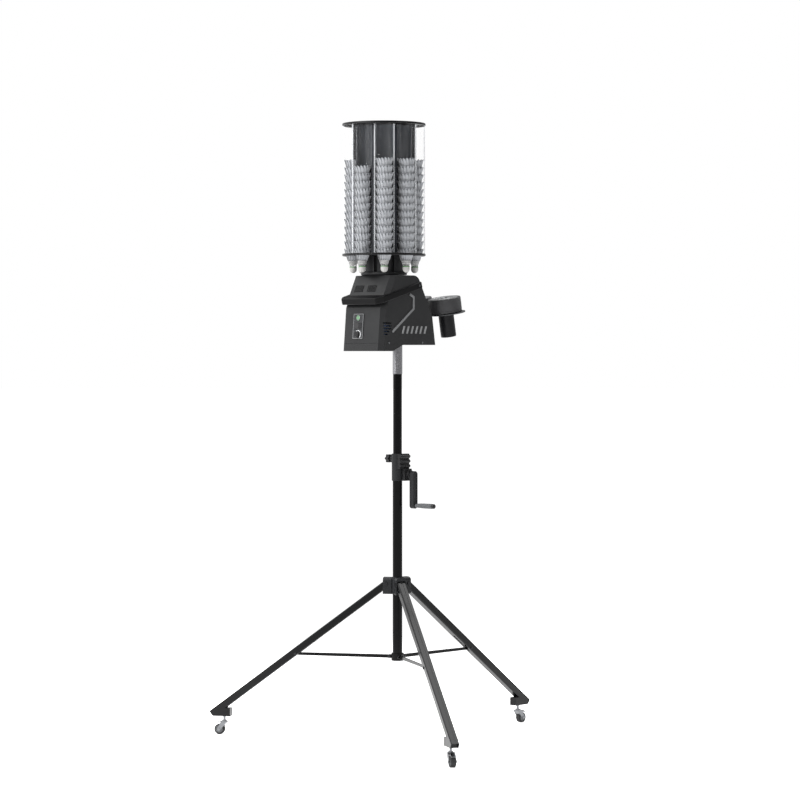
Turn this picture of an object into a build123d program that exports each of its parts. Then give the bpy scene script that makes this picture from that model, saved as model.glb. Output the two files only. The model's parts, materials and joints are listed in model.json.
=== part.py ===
"""Shuttlecock launching machine on a wind-up tripod stand.

Millimetres, +Z up. The origin is on the floor under the mast. Shuttles are launched
towards +X, the control face looks towards -X, and +Y is on the machine's left.
"""

from build123d import *
from math import acos, cos, hypot, pi, radians, sin, tan
import os

os.makedirs("parts", exist_ok=True)

# ---------------------------------------------------------------- driving dimensions

# Tripod: one leg points forward and the others stand at 120 degrees to it
LEG_ANGLES = {"front": 0, "left": 120, "right": 240}
LEG_PIVOT_R = 38.0
LEG_PIVOT_Z = 563.6
LEG_TILT = 53.4
LEG_LENGTH = 822.0
LEG_WIDTH = 30.0
LEG_DEPTH = 27.0
LEG_WALL = 2.2
FOOT_INNER_R = 629.0
FOOT_OUTER_R = 688.0
FOOT_BOTTOM = 67.0
FOOT_HEIGHT = 30.0

# Braces between the mast's foot and the legs
HUB_PIN_R = 30.0
HUB_PIN_Z = 302.0
BRACE_PIN_R = 378.5
BRACE_THICKNESS = 4.0
BRACE_SLOT_WIDTH = 6.4

# Casters
CASTER_R = 652.0
WHEEL_TRAIL = 17.6
WHEEL_RADIUS = 19.0
WHEEL_WIDTH = 20.0

# Collar that carries the legs and slides on the mast
COLLAR_BOTTOM = 527.0
COLLAR_TOP = 587.0
COLLAR_RADIUS = 23.0
BRACKET_REACH = 50.0
BRACKET_WIDTH = 39.0

# Mast: outer tube, inner tube and head post
MAST_RADIUS = 17.5
MAST_BORE = 16.3
MAST_BOTTOM = 290.0
MAST_TOP = 1000.0
INNER_RADIUS = 16.0
INNER_BORE = 14.2
INNER_BOTTOM = 590.0
INNER_TOP = 1400.0
POST_BOTTOM = 1318.0
KEYWAY_TOP = 1305.0
POST_TOP = 1440.0

# Winch: a crank pinion lifts the rack in the inner tube
WINCH_BOTTOM = 934.0
WINCH_SPLIT = 977.0
WINCH_TOP = 1031.0
RACK_MODULE = 1.5
PINION_TEETH = 12
RACK_PITCH_X = 14.5
RACK_BOTTOM = 648.0
RACK_TOP = 1238.0
RACK_WIDTH = 7.0
CRANK_Z = 958.0
CRANK_THROW = 112.0
ARM_WIDTH = 23.0
ARM_INNER_Y = -46.5
ARM_OUTER_Y = -68.5
GRIP_END_Y = -160.0
KNOB_Z = 1013.0

# Head casing
BODY_HALF_WIDTH = 100.0
BODY_WALL = 3.0
BODY_CORNER = 15.0
BODY_FLOOR = 1422.0
SCREW_SHANK = 2.0
ROOF_Z = 1670.0
RIM_ORIGIN = (-175.0, 0.0, 1582.0)
RIM_ANGLE = 15.9
RIM_HEIGHT = 23.0

# Magazine carousel
CAROUSEL_X = -70.0
STACK_COUNT = 8
STACK_PITCH_RADIUS = 110.0
HUB_RADIUS = 78.5
CORE_RADIUS = 106.0
PLATE_RADIUS = 149.0
PLATE_THICKNESS = 8.0
BASE_PLATE_Z = 1740.0
TOP_PLATE_Z = 2206.0
TUBE_RADIUS = 37.0
TUBE_BORE = 35.4
GEAR_MODULE = 1.5
GEAR_TEETH = 60
DRIVE_TEETH = 16
GEAR_Z = 1641.0
GEAR_FACE = 10.0

# Shuttlecocks
SHUTTLE_LENGTH = 88.0
CORK_RADIUS = 13.0
CORK_LENGTH = 24.0
SKIRT_RADIUS = 32.5
NEST_PITCH = 26.6
CORK_TIP_Z = 1679.0
FULL_STACK = 13

# Launcher
LAUNCH_ORIGIN = (173.2, 0.0, 1566.4)
LAUNCH_ANGLE = 10.0
WHEEL_OFFSET = 71.5
DRUM_RADIUS = 60.0
DRUM_HEIGHT = 54.0
MOTOR_RADIUS = 28.0
MOTOR_LENGTH = 84.0
TILT_AXIS_P = -85.5
TILT_AXIS_W = -5.6

# ---------------------------------------------------------------- derived values

PRESSURE = radians(20)
PINION_PITCH_R = PINION_TEETH * RACK_MODULE / 2
CRANK_X = RACK_PITCH_X + PINION_PITCH_R
GRIP_Z = CRANK_Z - CRANK_THROW
GEAR_CENTRES = (GEAR_TEETH + DRIVE_TEETH) * GEAR_MODULE / 2

leg_dir = (sin(radians(LEG_TILT)), 0, -cos(radians(LEG_TILT)))
LEG_PLANE = Plane(origin=(LEG_PIVOT_R, 0, LEG_PIVOT_Z), x_dir=(0, 1, 0), z_dir=leg_dir)
BRACE_PIN_ALONG = (BRACE_PIN_R - LEG_PIVOT_R) * leg_dir[0] + (HUB_PIN_Z - LEG_PIVOT_Z) * leg_dir[2]

rim_cos = cos(radians(RIM_ANGLE))
rim_sin = sin(radians(RIM_ANGLE))
RIM_PLANE = Plane(origin=RIM_ORIGIN, x_dir=(rim_cos, 0, rim_sin), z_dir=(-rim_sin, 0, rim_cos))

launch_cos = cos(radians(LAUNCH_ANGLE))
launch_sin = sin(radians(LAUNCH_ANGLE))
LAUNCH_PLANE = Plane(
    origin=LAUNCH_ORIGIN,
    x_dir=(launch_cos, 0, launch_sin),
    z_dir=(-launch_sin, 0, launch_cos),
)
# The upright plane through the launcher's middle: x along the launch, y across the wheels' tops
LAUNCH_SIDE = Plane(origin=LAUNCH_ORIGIN, x_dir=LAUNCH_PLANE.x_dir, z_dir=(0, -1, 0))

# Side outline of the head, from the control face's foot round the floor, nose and roof
BODY_OUTLINE = [
    (-189, 1400),
    (-126, 1400),
    (-76, BODY_FLOOR),
    (92, BODY_FLOOR),
    (76, 1526),
    (38, 1600),
    (1, ROOF_Z),
    (-126, ROOF_Z),
    (-158, 1602),
    (-168, 1571),
    (-176, 1555),
]
PLINTH_Z = 1427.0
NOSE_CORNER = (1, ROOF_Z)
vent_run = 32.0
vent_rise = 68.0
VENT_CENTRE = (-142, 0, 1636)
VENT_NORMAL = (-vent_rise, 0, vent_run)
RIM_HALF_WIDTH = 104.0
SHELL_SCREWS = [(-147, 1429), (24, 1430)]
RIM_SCREWS = [(6, 1634)]
NOSE_RADIUS = 34.0
LOUVRE_X = -171.0
LOUVRE_Z = 1459.5
LOUVRE_PITCH = 9.9
LOUVRE_LENGTHS = (18, 28, 37, 37, 37)

# Control panel: a plane on the sloping control face, x to the machine's right, y up the face
PANEL_Z = 1488.0
PANEL_Y = 17.0
PANEL_WIDTH = 49.5
PANEL_HEIGHT = 91.0
face_run = 13.0
face_rise = 155.0
panel_x = -189 + face_run * (PANEL_Z - 1400) / face_rise
face_length = hypot(face_run, face_rise)
PANEL_PLANE = Plane(
    origin=(panel_x, PANEL_Y, PANEL_Z),
    x_dir=(0, -1, 0),
    z_dir=(-face_rise / face_length, 0, face_run / face_length),
)
BUTTON_Y = 30.0
ROCKER_Y = 1.5
DIAL_Y = -29.0
BUTTON_RADIUS = 9.6
ROCKER_WIDTH = 32.0
ROCKER_HEIGHT = 21.0
ROCKER_TILT = 7.0
ROCKER_PIVOT_DEPTH = 6.0
DIAL_RADIUS = 11.0


# ---------------------------------------------------------------- shared shapes


def gear_sketch(teeth, module, addendum, dedendum=1.25, thinning=0.25, turn=0.0):
    """A whole involute spur gear on the XY plane, with a tooth centred at angle turn."""
    pitch_r = teeth * module / 2
    base_r = pitch_r * cos(PRESSURE)
    root_r = pitch_r - dedendum * module
    tip_r = pitch_r + addendum * module
    half_at_base = pi / (2 * teeth) - thinning / (2 * pitch_r) + tan(PRESSURE) - PRESSURE
    start_r = max(base_r, root_r)

    def flank_point(step):
        radius = start_r + (tip_r - start_r) * step / 4
        roll = acos(base_r / radius)
        half_angle = half_at_base - (tan(roll) - roll)
        return (radius * cos(half_angle), radius * sin(half_angle))

    upper = [flank_point(step) for step in range(5)]
    lower = [(x, -y) for x, y in upper]
    with BuildSketch(mode=Mode.PRIVATE) as tooth:
        with BuildLine():
            Line((0, 0), upper[0])
            Spline(*upper)
            Line(upper[-1], lower[-1])
            Spline(*lower)
            Line(lower[0], (0, 0))
        make_face()
    with BuildSketch(mode=Mode.PRIVATE) as gear:
        Circle(root_r)
        with PolarLocations(0, teeth, start_angle=turn):
            add(tooth.sketch)
    return gear.sketch


def cross_pin(x, z, radius, y_low, y_high, mode=Mode.ADD):
    """A round pin or hole along Y."""
    with Locations((x, (y_low + y_high) / 2, z)):
        Cylinder(radius, y_high - y_low, rotation=(90, 0, 0), mode=mode)


def save_turned(piece, stem):
    """Write a leg's piece three times, turned to each leg's place."""
    for side, angle in LEG_ANGLES.items():
        turned = piece.rotate(Axis.Z, angle)
        turned.label = f"{stem}_{side}"
        export_step(turned, f"parts/{stem}_{side}.step")


# ---------------------------------------------------------------- stand: mast and hub

with BuildPart() as outer_mast:
    with BuildSketch(Plane.XY.offset(MAST_BOTTOM)):
        Circle(MAST_RADIUS)
        Circle(MAST_BORE, mode=Mode.SUBTRACT)
    extrude(amount=MAST_TOP - MAST_BOTTOM)
    # Window that lets the crank pinion reach the rack
    with Locations((20, 0, CRANK_Z)):
        Box(20, 14, 27, mode=Mode.SUBTRACT)
outer_mast.part.label = "outer_mast"
export_step(outer_mast.part, "parts/outer_mast.step")

with BuildPart() as hub_lug:
    with BuildSketch(Plane.XZ):
        with Locations((HUB_PIN_R, HUB_PIN_Z)):
            Circle(6.5)
        with Locations((HUB_PIN_R - 6, HUB_PIN_Z)):
            Rectangle(12, 13)
    extrude(amount=6.5, both=True)

with BuildPart() as mast_hub:
    with BuildSketch(Plane.XY.offset(MAST_BOTTOM - 3)):
        Circle(22.5)
    extrude(amount=27)
    with PolarLocations(0, 3):
        add(hub_lug.part)
    # Slots for the braces' inner ends, and holes for their pins
    with PolarLocations(0, 3):
        with Locations((HUB_PIN_R, 0, HUB_PIN_Z)):
            Box(14.5, BRACE_THICKNESS + 0.8, 40, mode=Mode.SUBTRACT)
            Cylinder(3.0, 20, rotation=(90, 0, 0), mode=Mode.SUBTRACT)
    with BuildSketch(Plane.XY.offset(MAST_BOTTOM)):
        Circle(MAST_RADIUS)
    extrude(amount=30, mode=Mode.SUBTRACT)
mast_hub.part.label = "mast_hub"
export_step(mast_hub.part, "parts/mast_hub.step")

with BuildPart() as hub_pins:
    with PolarLocations(0, 3):
        with Locations((HUB_PIN_R, 0, HUB_PIN_Z)):
            Cylinder(3.0, 15, rotation=(90, 0, 0))
        for side in (-1, 1):
            with Locations((HUB_PIN_R, side * 7.5, HUB_PIN_Z)):
                Cylinder(5.0, 2, rotation=(90, 0, 0))
hub_pins.part.label = "hub_pins"
export_step(hub_pins.part, "parts/hub_pins.step")

# ---------------------------------------------------------------- stand: leg collar

with BuildPart() as leg_bracket:
    with BuildSketch(Plane.YZ.offset(MAST_RADIUS)):
        with Locations((0, (COLLAR_BOTTOM + COLLAR_TOP) / 2)):
            Rectangle(BRACKET_WIDTH, COLLAR_TOP - COLLAR_BOTTOM)
    extrude(amount=BRACKET_REACH - MAST_RADIUS)
    shoulders = leg_bracket.edges().filter_by(Axis.X).group_by(Axis.Z)[-1]
    fillet(shoulders, 13)
    # Room for the leg's head, and the window it leaves by
    with Locations(((24.2 + 47) / 2, 0, COLLAR_BOTTOM)):
        Box(47 - 24.2, LEG_WIDTH + 1, 2 * 56, mode=Mode.SUBTRACT)
    with Locations((BRACKET_REACH, 0, COLLAR_BOTTOM)):
        Box(12, LEG_WIDTH + 1, 2 * 48, mode=Mode.SUBTRACT)

with BuildPart() as leg_collar:
    with BuildSketch(Plane.XY.offset(COLLAR_BOTTOM)):
        Circle(COLLAR_RADIUS)
    extrude(amount=COLLAR_TOP - COLLAR_BOTTOM)
    with PolarLocations(0, 3):
        add(leg_bracket.part)
    with PolarLocations(0, 3):
        with Locations((LEG_PIVOT_R, 0, LEG_PIVOT_Z)):
            Cylinder(4.0, 50, rotation=(90, 0, 0), mode=Mode.SUBTRACT)
    with BuildSketch(Plane.XY.offset(COLLAR_BOTTOM)):
        Circle(MAST_RADIUS + 0.3)
    extrude(amount=COLLAR_TOP - COLLAR_BOTTOM, mode=Mode.SUBTRACT)
leg_collar.part.label = "leg_collar"
export_step(leg_collar.part, "parts/leg_collar.step")

with BuildPart() as collar_pins:
    with PolarLocations(0, 3):
        with Locations((LEG_PIVOT_R, 0, LEG_PIVOT_Z)):
            Cylinder(4.0, BRACKET_WIDTH + 3, rotation=(90, 0, 0))
        for side in (-1, 1):
            with Locations((LEG_PIVOT_R, side * (BRACKET_WIDTH / 2 + 1.5), LEG_PIVOT_Z)):
                Cylinder(6.5, 3, rotation=(90, 0, 0))
collar_pins.part.label = "collar_pins"
export_step(collar_pins.part, "parts/collar_pins.step")

# ---------------------------------------------------------------- stand: legs, rivets and braces

with BuildPart() as leg:
    with BuildSketch(LEG_PLANE):
        RectangleRounded(LEG_WIDTH, LEG_DEPTH, 4)
        RectangleRounded(LEG_WIDTH - 2 * LEG_WALL, LEG_DEPTH - 2 * LEG_WALL, 2, mode=Mode.SUBTRACT)
        with Locations((0, LEG_DEPTH / 2)):
            Rectangle(7, 2.4, mode=Mode.SUBTRACT)
    extrude(amount=LEG_LENGTH)
    # Rounded solid head that turns in the collar's bracket
    cross_pin(LEG_PIVOT_R, LEG_PIVOT_Z, LEG_DEPTH / 2, -LEG_WIDTH / 2, LEG_WIDTH / 2)
    cross_pin(LEG_PIVOT_R, LEG_PIVOT_Z, 4.06, -LEG_WIDTH, LEG_WIDTH, mode=Mode.SUBTRACT)
    # Slot in the underside where the brace's end enters, and the rivet holes beside it
    with BuildSketch(LEG_PLANE.offset(BRACE_PIN_ALONG - 96)):
        with Locations((0, -LEG_DEPTH / 2)):
            Rectangle(BRACE_SLOT_WIDTH, 2 * LEG_WALL + 0.4)
    extrude(amount=108, mode=Mode.SUBTRACT)
    cross_pin(BRACE_PIN_R, HUB_PIN_Z, 3.0, -LEG_WIDTH, LEG_WIDTH, mode=Mode.SUBTRACT)
    # Welded foot, with its end plate and the bore for the caster's stem
    foot_z = FOOT_BOTTOM + FOOT_HEIGHT / 2
    with Locations(((FOOT_INNER_R + FOOT_OUTER_R) / 2, 0, foot_z)):
        Box(FOOT_OUTER_R - FOOT_INNER_R, LEG_WIDTH, FOOT_HEIGHT)
    with Locations((FOOT_INNER_R - 1.5, 0, foot_z)):
        Box(3, LEG_WIDTH + 2, FOOT_HEIGHT)
    split(bisect_by=Plane.XY.offset(FOOT_BOTTOM), keep=Keep.TOP)
    with Locations((CASTER_R, 0, FOOT_BOTTOM)):
        Cylinder(5.06, 46, mode=Mode.SUBTRACT)
save_turned(leg.part, "leg")

with BuildPart() as leg_rivets:
    for side in (-1, 1):
        inner = LEG_WIDTH / 2 - LEG_WALL
        with Locations((BRACE_PIN_R, side * (inner + LEG_WIDTH / 2) / 2, HUB_PIN_Z)):
            Cylinder(3.0, LEG_WALL, rotation=(90, 0, 0))
        with Locations((BRACE_PIN_R, side * (LEG_WIDTH / 2 + 1.1), HUB_PIN_Z)):
            Cylinder(5.5, 2.2, rotation=(90, 0, 0))
save_turned(leg_rivets.part, "leg_rivets")

with BuildPart() as brace:
    with BuildSketch(Plane.XZ):
        with Locations((HUB_PIN_R, HUB_PIN_Z)):
            Circle(6.25)
        with Locations((BRACE_PIN_R, HUB_PIN_Z)):
            Circle(5.0)
        make_hull()
    extrude(amount=BRACE_THICKNESS / 2, both=True)
    cross_pin(HUB_PIN_R, HUB_PIN_Z, 3.06, -5, 5, mode=Mode.SUBTRACT)
    cross_pin(BRACE_PIN_R, HUB_PIN_Z, 3.0, -5, 5, mode=Mode.SUBTRACT)
save_turned(brace.part, "brace")

# ---------------------------------------------------------------- stand: casters

AXLE_R = CASTER_R + WHEEL_TRAIL

with BuildPart() as caster_fork:
    with BuildSketch(Plane.XZ):
        with Locations((AXLE_R, WHEEL_RADIUS)):
            Circle(7)
        with Locations((CASTER_R, 46)):
            Rectangle(20, 4)
        make_hull()
    extrude(amount=WHEEL_WIDTH / 2 + 3.2, both=True)
    with BuildSketch(Plane.XZ):
        with Locations((AXLE_R, WHEEL_RADIUS)):
            Circle(WHEEL_RADIUS + 4.5)
            Rectangle(60, 20)
    extrude(amount=WHEEL_WIDTH / 2 + 1.2, both=True, mode=Mode.SUBTRACT)
    # Crown, raceway and stem
    with Locations((CASTER_R, 0, 46)):
        Cylinder(12.5, 4)
    with Locations((CASTER_R, 0, 50)):
        Cylinder(9, 4)
    with Locations((CASTER_R, 0, 70)):
        Cylinder(5.0, 36)
    # Guard tab over the wheel
    with BuildSketch(Plane.XZ):
        with BuildLine():
            Polyline(
                (CASTER_R + 6, 48),
                (CASTER_R + 21, 48),
                (CASTER_R + 37, 37.5),
                (CASTER_R + 35.7, 35.6),
                (CASTER_R + 20.3, 45.6),
                (CASTER_R + 6, 45.6),
                close=True,
            )
        make_face()
    extrude(amount=9, both=True)
    cross_pin(AXLE_R, WHEEL_RADIUS, 3.0, -20, 20, mode=Mode.SUBTRACT)

with BuildPart() as caster_axle:
    cross_pin(AXLE_R, WHEEL_RADIUS, 3.0, -14.4, 14.4)
    cross_pin(AXLE_R, WHEEL_RADIUS, 4.8, -15.4, -13.2)
    cross_pin(AXLE_R, WHEEL_RADIUS, 4.8, 13.2, 15.4)
save_turned(Compound(children=[caster_fork.part, caster_axle.part]), "caster_fork")

with BuildPart() as caster_wheel:
    cross_pin(AXLE_R, WHEEL_RADIUS, 13.5, -WHEEL_WIDTH / 2 + 1, WHEEL_WIDTH / 2 - 1)
    for side in (-1, 1):
        face = side * (WHEEL_WIDTH / 2 - 1)
        low, high = sorted((face, face - side * 2.5))
        cross_pin(AXLE_R, WHEEL_RADIUS, 11.5, low, high, mode=Mode.SUBTRACT)
    cross_pin(AXLE_R, WHEEL_RADIUS, 5.5, -WHEEL_WIDTH / 2, WHEEL_WIDTH / 2)
    cross_pin(AXLE_R, WHEEL_RADIUS, 3.06, -20, 20, mode=Mode.SUBTRACT)
save_turned(caster_wheel.part, "caster_wheel")

with BuildPart() as caster_tyre:
    cross_pin(AXLE_R, WHEEL_RADIUS, WHEEL_RADIUS, -WHEEL_WIDTH / 2, WHEEL_WIDTH / 2)
    fillet(caster_tyre.edges().filter_by(GeomType.CIRCLE), 3)
    cross_pin(AXLE_R, WHEEL_RADIUS, 13.5, -20, 20, mode=Mode.SUBTRACT)
save_turned(caster_tyre.part, "caster_tyre")

# ---------------------------------------------------------------- winch and crank

with BuildPart() as winch_housing:
    with BuildSketch(Plane.XY.offset(WINCH_BOTTOM)):
        Circle(21)
    extrude(amount=WINCH_TOP - WINCH_BOTTOM)
    # Gear chamber beside the sleeve, and the boss for the lock knob's screw
    with Locations((19, -2, CRANK_Z)):
        Box(36, 34, 34)
    cross_pin(0, KNOB_Z, 9, 0, 31)
    cross_pin(CRANK_X, CRANK_Z, 11.3, -6.6, 6.6, mode=Mode.SUBTRACT)
    cross_pin(CRANK_X, CRANK_Z, 6.06, -60, 13.3, mode=Mode.SUBTRACT)
    # The bore grips the outer tube below and guides the inner tube above
    with BuildSketch(Plane.XY.offset(WINCH_BOTTOM)):
        Circle(MAST_RADIUS)
    extrude(amount=MAST_TOP - WINCH_BOTTOM, mode=Mode.SUBTRACT)
    with BuildSketch(Plane.XY.offset(MAST_TOP)):
        Circle(INNER_RADIUS + 0.08)
    extrude(amount=WINCH_TOP - MAST_TOP, mode=Mode.SUBTRACT)
    # Key that keeps the inner tube from turning
    with Locations((0, -INNER_RADIUS, (MAST_TOP + WINCH_TOP) / 2)):
        Box(5.6, 1.6, WINCH_TOP - MAST_TOP)
    cross_pin(0, KNOB_Z, 4.06, 0, 40, mode=Mode.SUBTRACT)
winch_housing.part.label = "winch_housing"
export_step(winch_housing.part, "parts/winch_housing.step")

with BuildPart() as winch_cover:
    # Upper block with its three rounded ribs
    with Locations((10.5, -17, (WINCH_SPLIT + WINCH_TOP) / 2)):
        Box(51, 15, WINCH_TOP - WINCH_SPLIT)
    for rib in range(3):
        with Locations((10.5, -24.5, WINCH_SPLIT + 10 + 17 * rib)):
            Cylinder(6, 51, rotation=(0, 90, 0))
            with Locations((20, 7, 0)):
                Cylinder(6, 14, rotation=(90, 0, 0))
    # Lower block and the boss that carries the crank shaft
    with Locations((20.5, -26.5, (WINCH_BOTTOM + WINCH_SPLIT) / 2)):
        Box(37, 15, WINCH_SPLIT - WINCH_BOTTOM)
    cross_pin(CRANK_X, CRANK_Z, 14, -45.5, -33)
    cross_pin(CRANK_X, CRANK_Z, 6.06, -60, 0, mode=Mode.SUBTRACT)
    with BuildSketch(Plane.XY.offset(WINCH_BOTTOM)):
        Circle(21)
    extrude(amount=WINCH_TOP, mode=Mode.SUBTRACT)
winch_cover.part.label = "winch_cover"
export_step(winch_cover.part, "parts/winch_cover.step")

with BuildPart() as crank_shaft:
    cross_pin(CRANK_X, CRANK_Z, 6.0, ARM_OUTER_Y + 6, 13)
    with BuildSketch(Plane(origin=(CRANK_X, 3.2, CRANK_Z), x_dir=(1, 0, 0), z_dir=(0, -1, 0))):
        add(gear_sketch(PINION_TEETH, RACK_MODULE, 1.0))
    extrude(amount=6.4)
crank_shaft.part.label = "crank_shaft"
export_step(crank_shaft.part, "parts/crank_shaft.step")

with BuildPart() as crank_arm:
    with BuildSketch(Plane.XZ.offset(-ARM_INNER_Y)):
        with Locations((CRANK_X, (CRANK_Z + GRIP_Z) / 2)):
            SlotCenterToCenter(CRANK_THROW, ARM_WIDTH, rotation=90)
    extrude(amount=ARM_INNER_Y - ARM_OUTER_Y)
    rims = crank_arm.faces().filter_by(Axis.Y).edges()
    fillet(rims, 3)
    # Shallow panel in the outer face
    with BuildSketch(Plane.XZ.offset(-ARM_OUTER_Y)):
        with Locations((CRANK_X, (CRANK_Z + GRIP_Z) / 2)):
            SlotCenterToCenter(CRANK_THROW - 6, ARM_WIDTH - 9, rotation=90)
    extrude(amount=-2, mode=Mode.SUBTRACT)
    cross_pin(CRANK_X, CRANK_Z, 6.0, ARM_OUTER_Y + 6, 0, mode=Mode.SUBTRACT)
    # Spigot that the grip spins on
    cross_pin(CRANK_X, GRIP_Z, 4.0, GRIP_END_Y + 8, ARM_OUTER_Y + 3)
crank_arm.part.label = "crank_arm"
export_step(crank_arm.part, "parts/crank_arm.step")

with BuildPart() as crank_grip:
    grip_length = ARM_OUTER_Y - 0.6 - GRIP_END_Y
    with BuildSketch(Plane(origin=(CRANK_X, ARM_OUTER_Y - 0.6, GRIP_Z), x_dir=(1, 0, 0), z_dir=(0, 0, 1))):
        with BuildLine():
            Line((4.08, 0), (6.2, 0))
            Spline((6.2, 0), (7.2, -10), (9.3, -34), (9.2, -70), (8.6, -grip_length + 2))
            Line((8.6, -grip_length + 2), (7.0, -grip_length))
            Line((7.0, -grip_length), (0, -grip_length))
            Line((0, -grip_length), (0, -grip_length + 6))
            Line((0, -grip_length + 6), (4.08, -grip_length + 6))
            Line((4.08, -grip_length + 6), (4.08, 0))
        make_face()
    revolve(axis=Axis((CRANK_X, 0, GRIP_Z), (0, 1, 0)))
crank_grip.part.label = "crank_grip"
export_step(crank_grip.part, "parts/crank_grip.step")

with BuildPart() as lock_knob:
    with BuildSketch(Plane(origin=(0, 33, KNOB_Z), x_dir=(1, 0, 0), z_dir=(0, 1, 0))):
        Circle(12.5)
        with PolarLocations(12, 6):
            Circle(4.2)
    extrude(amount=17)
    fillet(lock_knob.faces().sort_by(Axis.Y)[-1].edges(), 1.5)
    cross_pin(0, KNOB_Z, 4.0, INNER_RADIUS + 0.5, 36)
lock_knob.part.label = "lock_knob"
export_step(lock_knob.part, "parts/lock_knob.step")

# ---------------------------------------------------------------- lift: inner tube and rack

with BuildPart() as inner_mast:
    with BuildSketch(Plane.XY.offset(INNER_BOTTOM)):
        Circle(INNER_RADIUS)
        Circle(INNER_BORE, mode=Mode.SUBTRACT)
    extrude(amount=INNER_TOP - INNER_BOTTOM)
    # Slot that the rack is let into, and the keyway that faces the winch's key
    with Locations((15, 0, (RACK_BOTTOM + RACK_TOP) / 2)):
        Box(10, RACK_WIDTH, RACK_TOP - RACK_BOTTOM, mode=Mode.SUBTRACT)
    with Locations((0, -INNER_RADIUS, (INNER_BOTTOM + KEYWAY_TOP) / 2)):
        Box(6, 2.2, KEYWAY_TOP - INNER_BOTTOM, mode=Mode.SUBTRACT)
inner_mast.part.label = "inner_mast"
export_step(inner_mast.part, "parts/inner_mast.step")

rack_root_x = RACK_PITCH_X - 1.25 * RACK_MODULE
rack_tip_x = RACK_PITCH_X + 0.7 * RACK_MODULE
tooth_pitch = pi * RACK_MODULE
lean = tan(PRESSURE)
half_root = (tooth_pitch / 2 - 0.25) / 2 + (RACK_PITCH_X - rack_root_x) * lean
half_tip = half_root - (rack_tip_x - rack_root_x) * lean
teeth_below = int((CRANK_Z - RACK_BOTTOM) / tooth_pitch)
teeth_above = int((RACK_TOP - CRANK_Z) / tooth_pitch)

with BuildPart() as lift_rack:
    with BuildSketch(Plane.XZ):
        rack_edge = []
        for tooth in range(-teeth_below, teeth_above):
            centre = CRANK_Z + (tooth + 0.5) * tooth_pitch
            rack_edge += [
                (rack_root_x, centre - half_root),
                (rack_tip_x, centre - half_tip),
                (rack_tip_x, centre + half_tip),
                (rack_root_x, centre + half_root),
            ]
        with BuildLine():
            Polyline(
                (10.2, RACK_BOTTOM),
                (rack_root_x, RACK_BOTTOM),
                *rack_edge,
                (rack_root_x, RACK_TOP),
                (10.2, RACK_TOP),
                close=True,
            )
        make_face()
    extrude(amount=RACK_WIDTH / 2, both=True)
lift_rack.part.label = "lift_rack"
export_step(lift_rack.part, "parts/lift_rack.step")

# ---------------------------------------------------------------- head: post, chassis, spindle

with BuildPart() as head_post:
    with BuildSketch(Plane.XY.offset(POST_BOTTOM)):
        Circle(MAST_RADIUS)
    extrude(amount=POST_TOP - POST_BOTTOM)
    with BuildSketch(Plane.XY.offset(POST_BOTTOM)):
        Circle(INNER_RADIUS + 0.06)
    extrude(amount=INNER_TOP + 0.5 - POST_BOTTOM, mode=Mode.SUBTRACT)
head_post.part.label = "head_post"
export_step(head_post.part, "parts/head_post.step")

CHASSIS_Z = BODY_FLOOR + BODY_WALL
CHASSIS_TOP = CHASSIS_Z + 5
drive_y = GEAR_CENTRES

with BuildPart() as chassis:
    with Locations(((-160 + 82) / 2, 0, CHASSIS_Z + 2.5)):
        Box(242, 176, 5)
    # Socket for the head post
    with BuildSketch(Plane.XY.offset(CHASSIS_TOP)):
        Circle(25)
    extrude(amount=14)
    with BuildSketch(Plane.XY.offset(CHASSIS_Z)):
        Circle(MAST_RADIUS)
    extrude(amount=40, mode=Mode.SUBTRACT)
    # Upright and shelf for the carousel motor
    with Locations((CAROUSEL_X, 79, (CHASSIS_TOP + 1560) / 2)):
        Box(46, 4, 1560 - CHASSIS_TOP)
    with Locations((CAROUSEL_X, 58, 1558)):
        Box(46, 46, 4)
chassis.part.label = "chassis"
export_step(chassis.part, "parts/chassis.step")

with BuildPart() as carousel_spindle:
    with BuildSketch(Plane.XZ):
        with BuildLine():
            Polyline(
                (CAROUSEL_X, CHASSIS_TOP),
                (CAROUSEL_X + 24, CHASSIS_TOP),
                (CAROUSEL_X + 24, CHASSIS_TOP + 6),
                (CAROUSEL_X + 15, CHASSIS_TOP + 10),
                (CAROUSEL_X + 15, GEAR_Z - 0.5),
                (CAROUSEL_X + 10, GEAR_Z - 0.5),
                (CAROUSEL_X + 10, BASE_PLATE_Z - 6),
                (CAROUSEL_X, BASE_PLATE_Z - 6),
                close=True,
            )
        make_face()
    revolve(axis=Axis((CAROUSEL_X, 0, 0), (0, 0, 1)))
carousel_spindle.part.label = "carousel_spindle"
export_step(carousel_spindle.part, "parts/carousel_spindle.step")

with BuildPart() as carousel_motor:
    with BuildSketch(Plane.XY.offset(1560)):
        with Locations((CAROUSEL_X, drive_y)):
            Circle(18)
    extrude(amount=66)
    fillet(carousel_motor.edges().filter_by(GeomType.CIRCLE), 2)
    with BuildSketch(Plane.XY.offset(1624)):
        with Locations((CAROUSEL_X, drive_y)):
            Circle(3)
    extrude(amount=28)
carousel_motor.part.label = "carousel_motor"
export_step(carousel_motor.part, "parts/carousel_motor.step")

with BuildPart() as carousel_pinion:
    with BuildSketch(Plane(origin=(CAROUSEL_X, drive_y, GEAR_Z), z_dir=(0, 0, 1))):
        add(gear_sketch(DRIVE_TEETH, GEAR_MODULE, 1.0, turn=180 / DRIVE_TEETH))
        Circle(3.06, mode=Mode.SUBTRACT)
    extrude(amount=GEAR_FACE)
carousel_pinion.part.label = "carousel_pinion"
export_step(carousel_pinion.part, "parts/carousel_pinion.step")

with BuildPart() as battery_pack:
    with Locations((-128, -42, CHASSIS_TOP + 34)):
        Box(52, 84, 68)
    fillet(battery_pack.edges().filter_by(Axis.Z), 5)
battery_pack.part.label = "battery_pack"
export_step(battery_pack.part, "parts/battery_pack.step")

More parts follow.
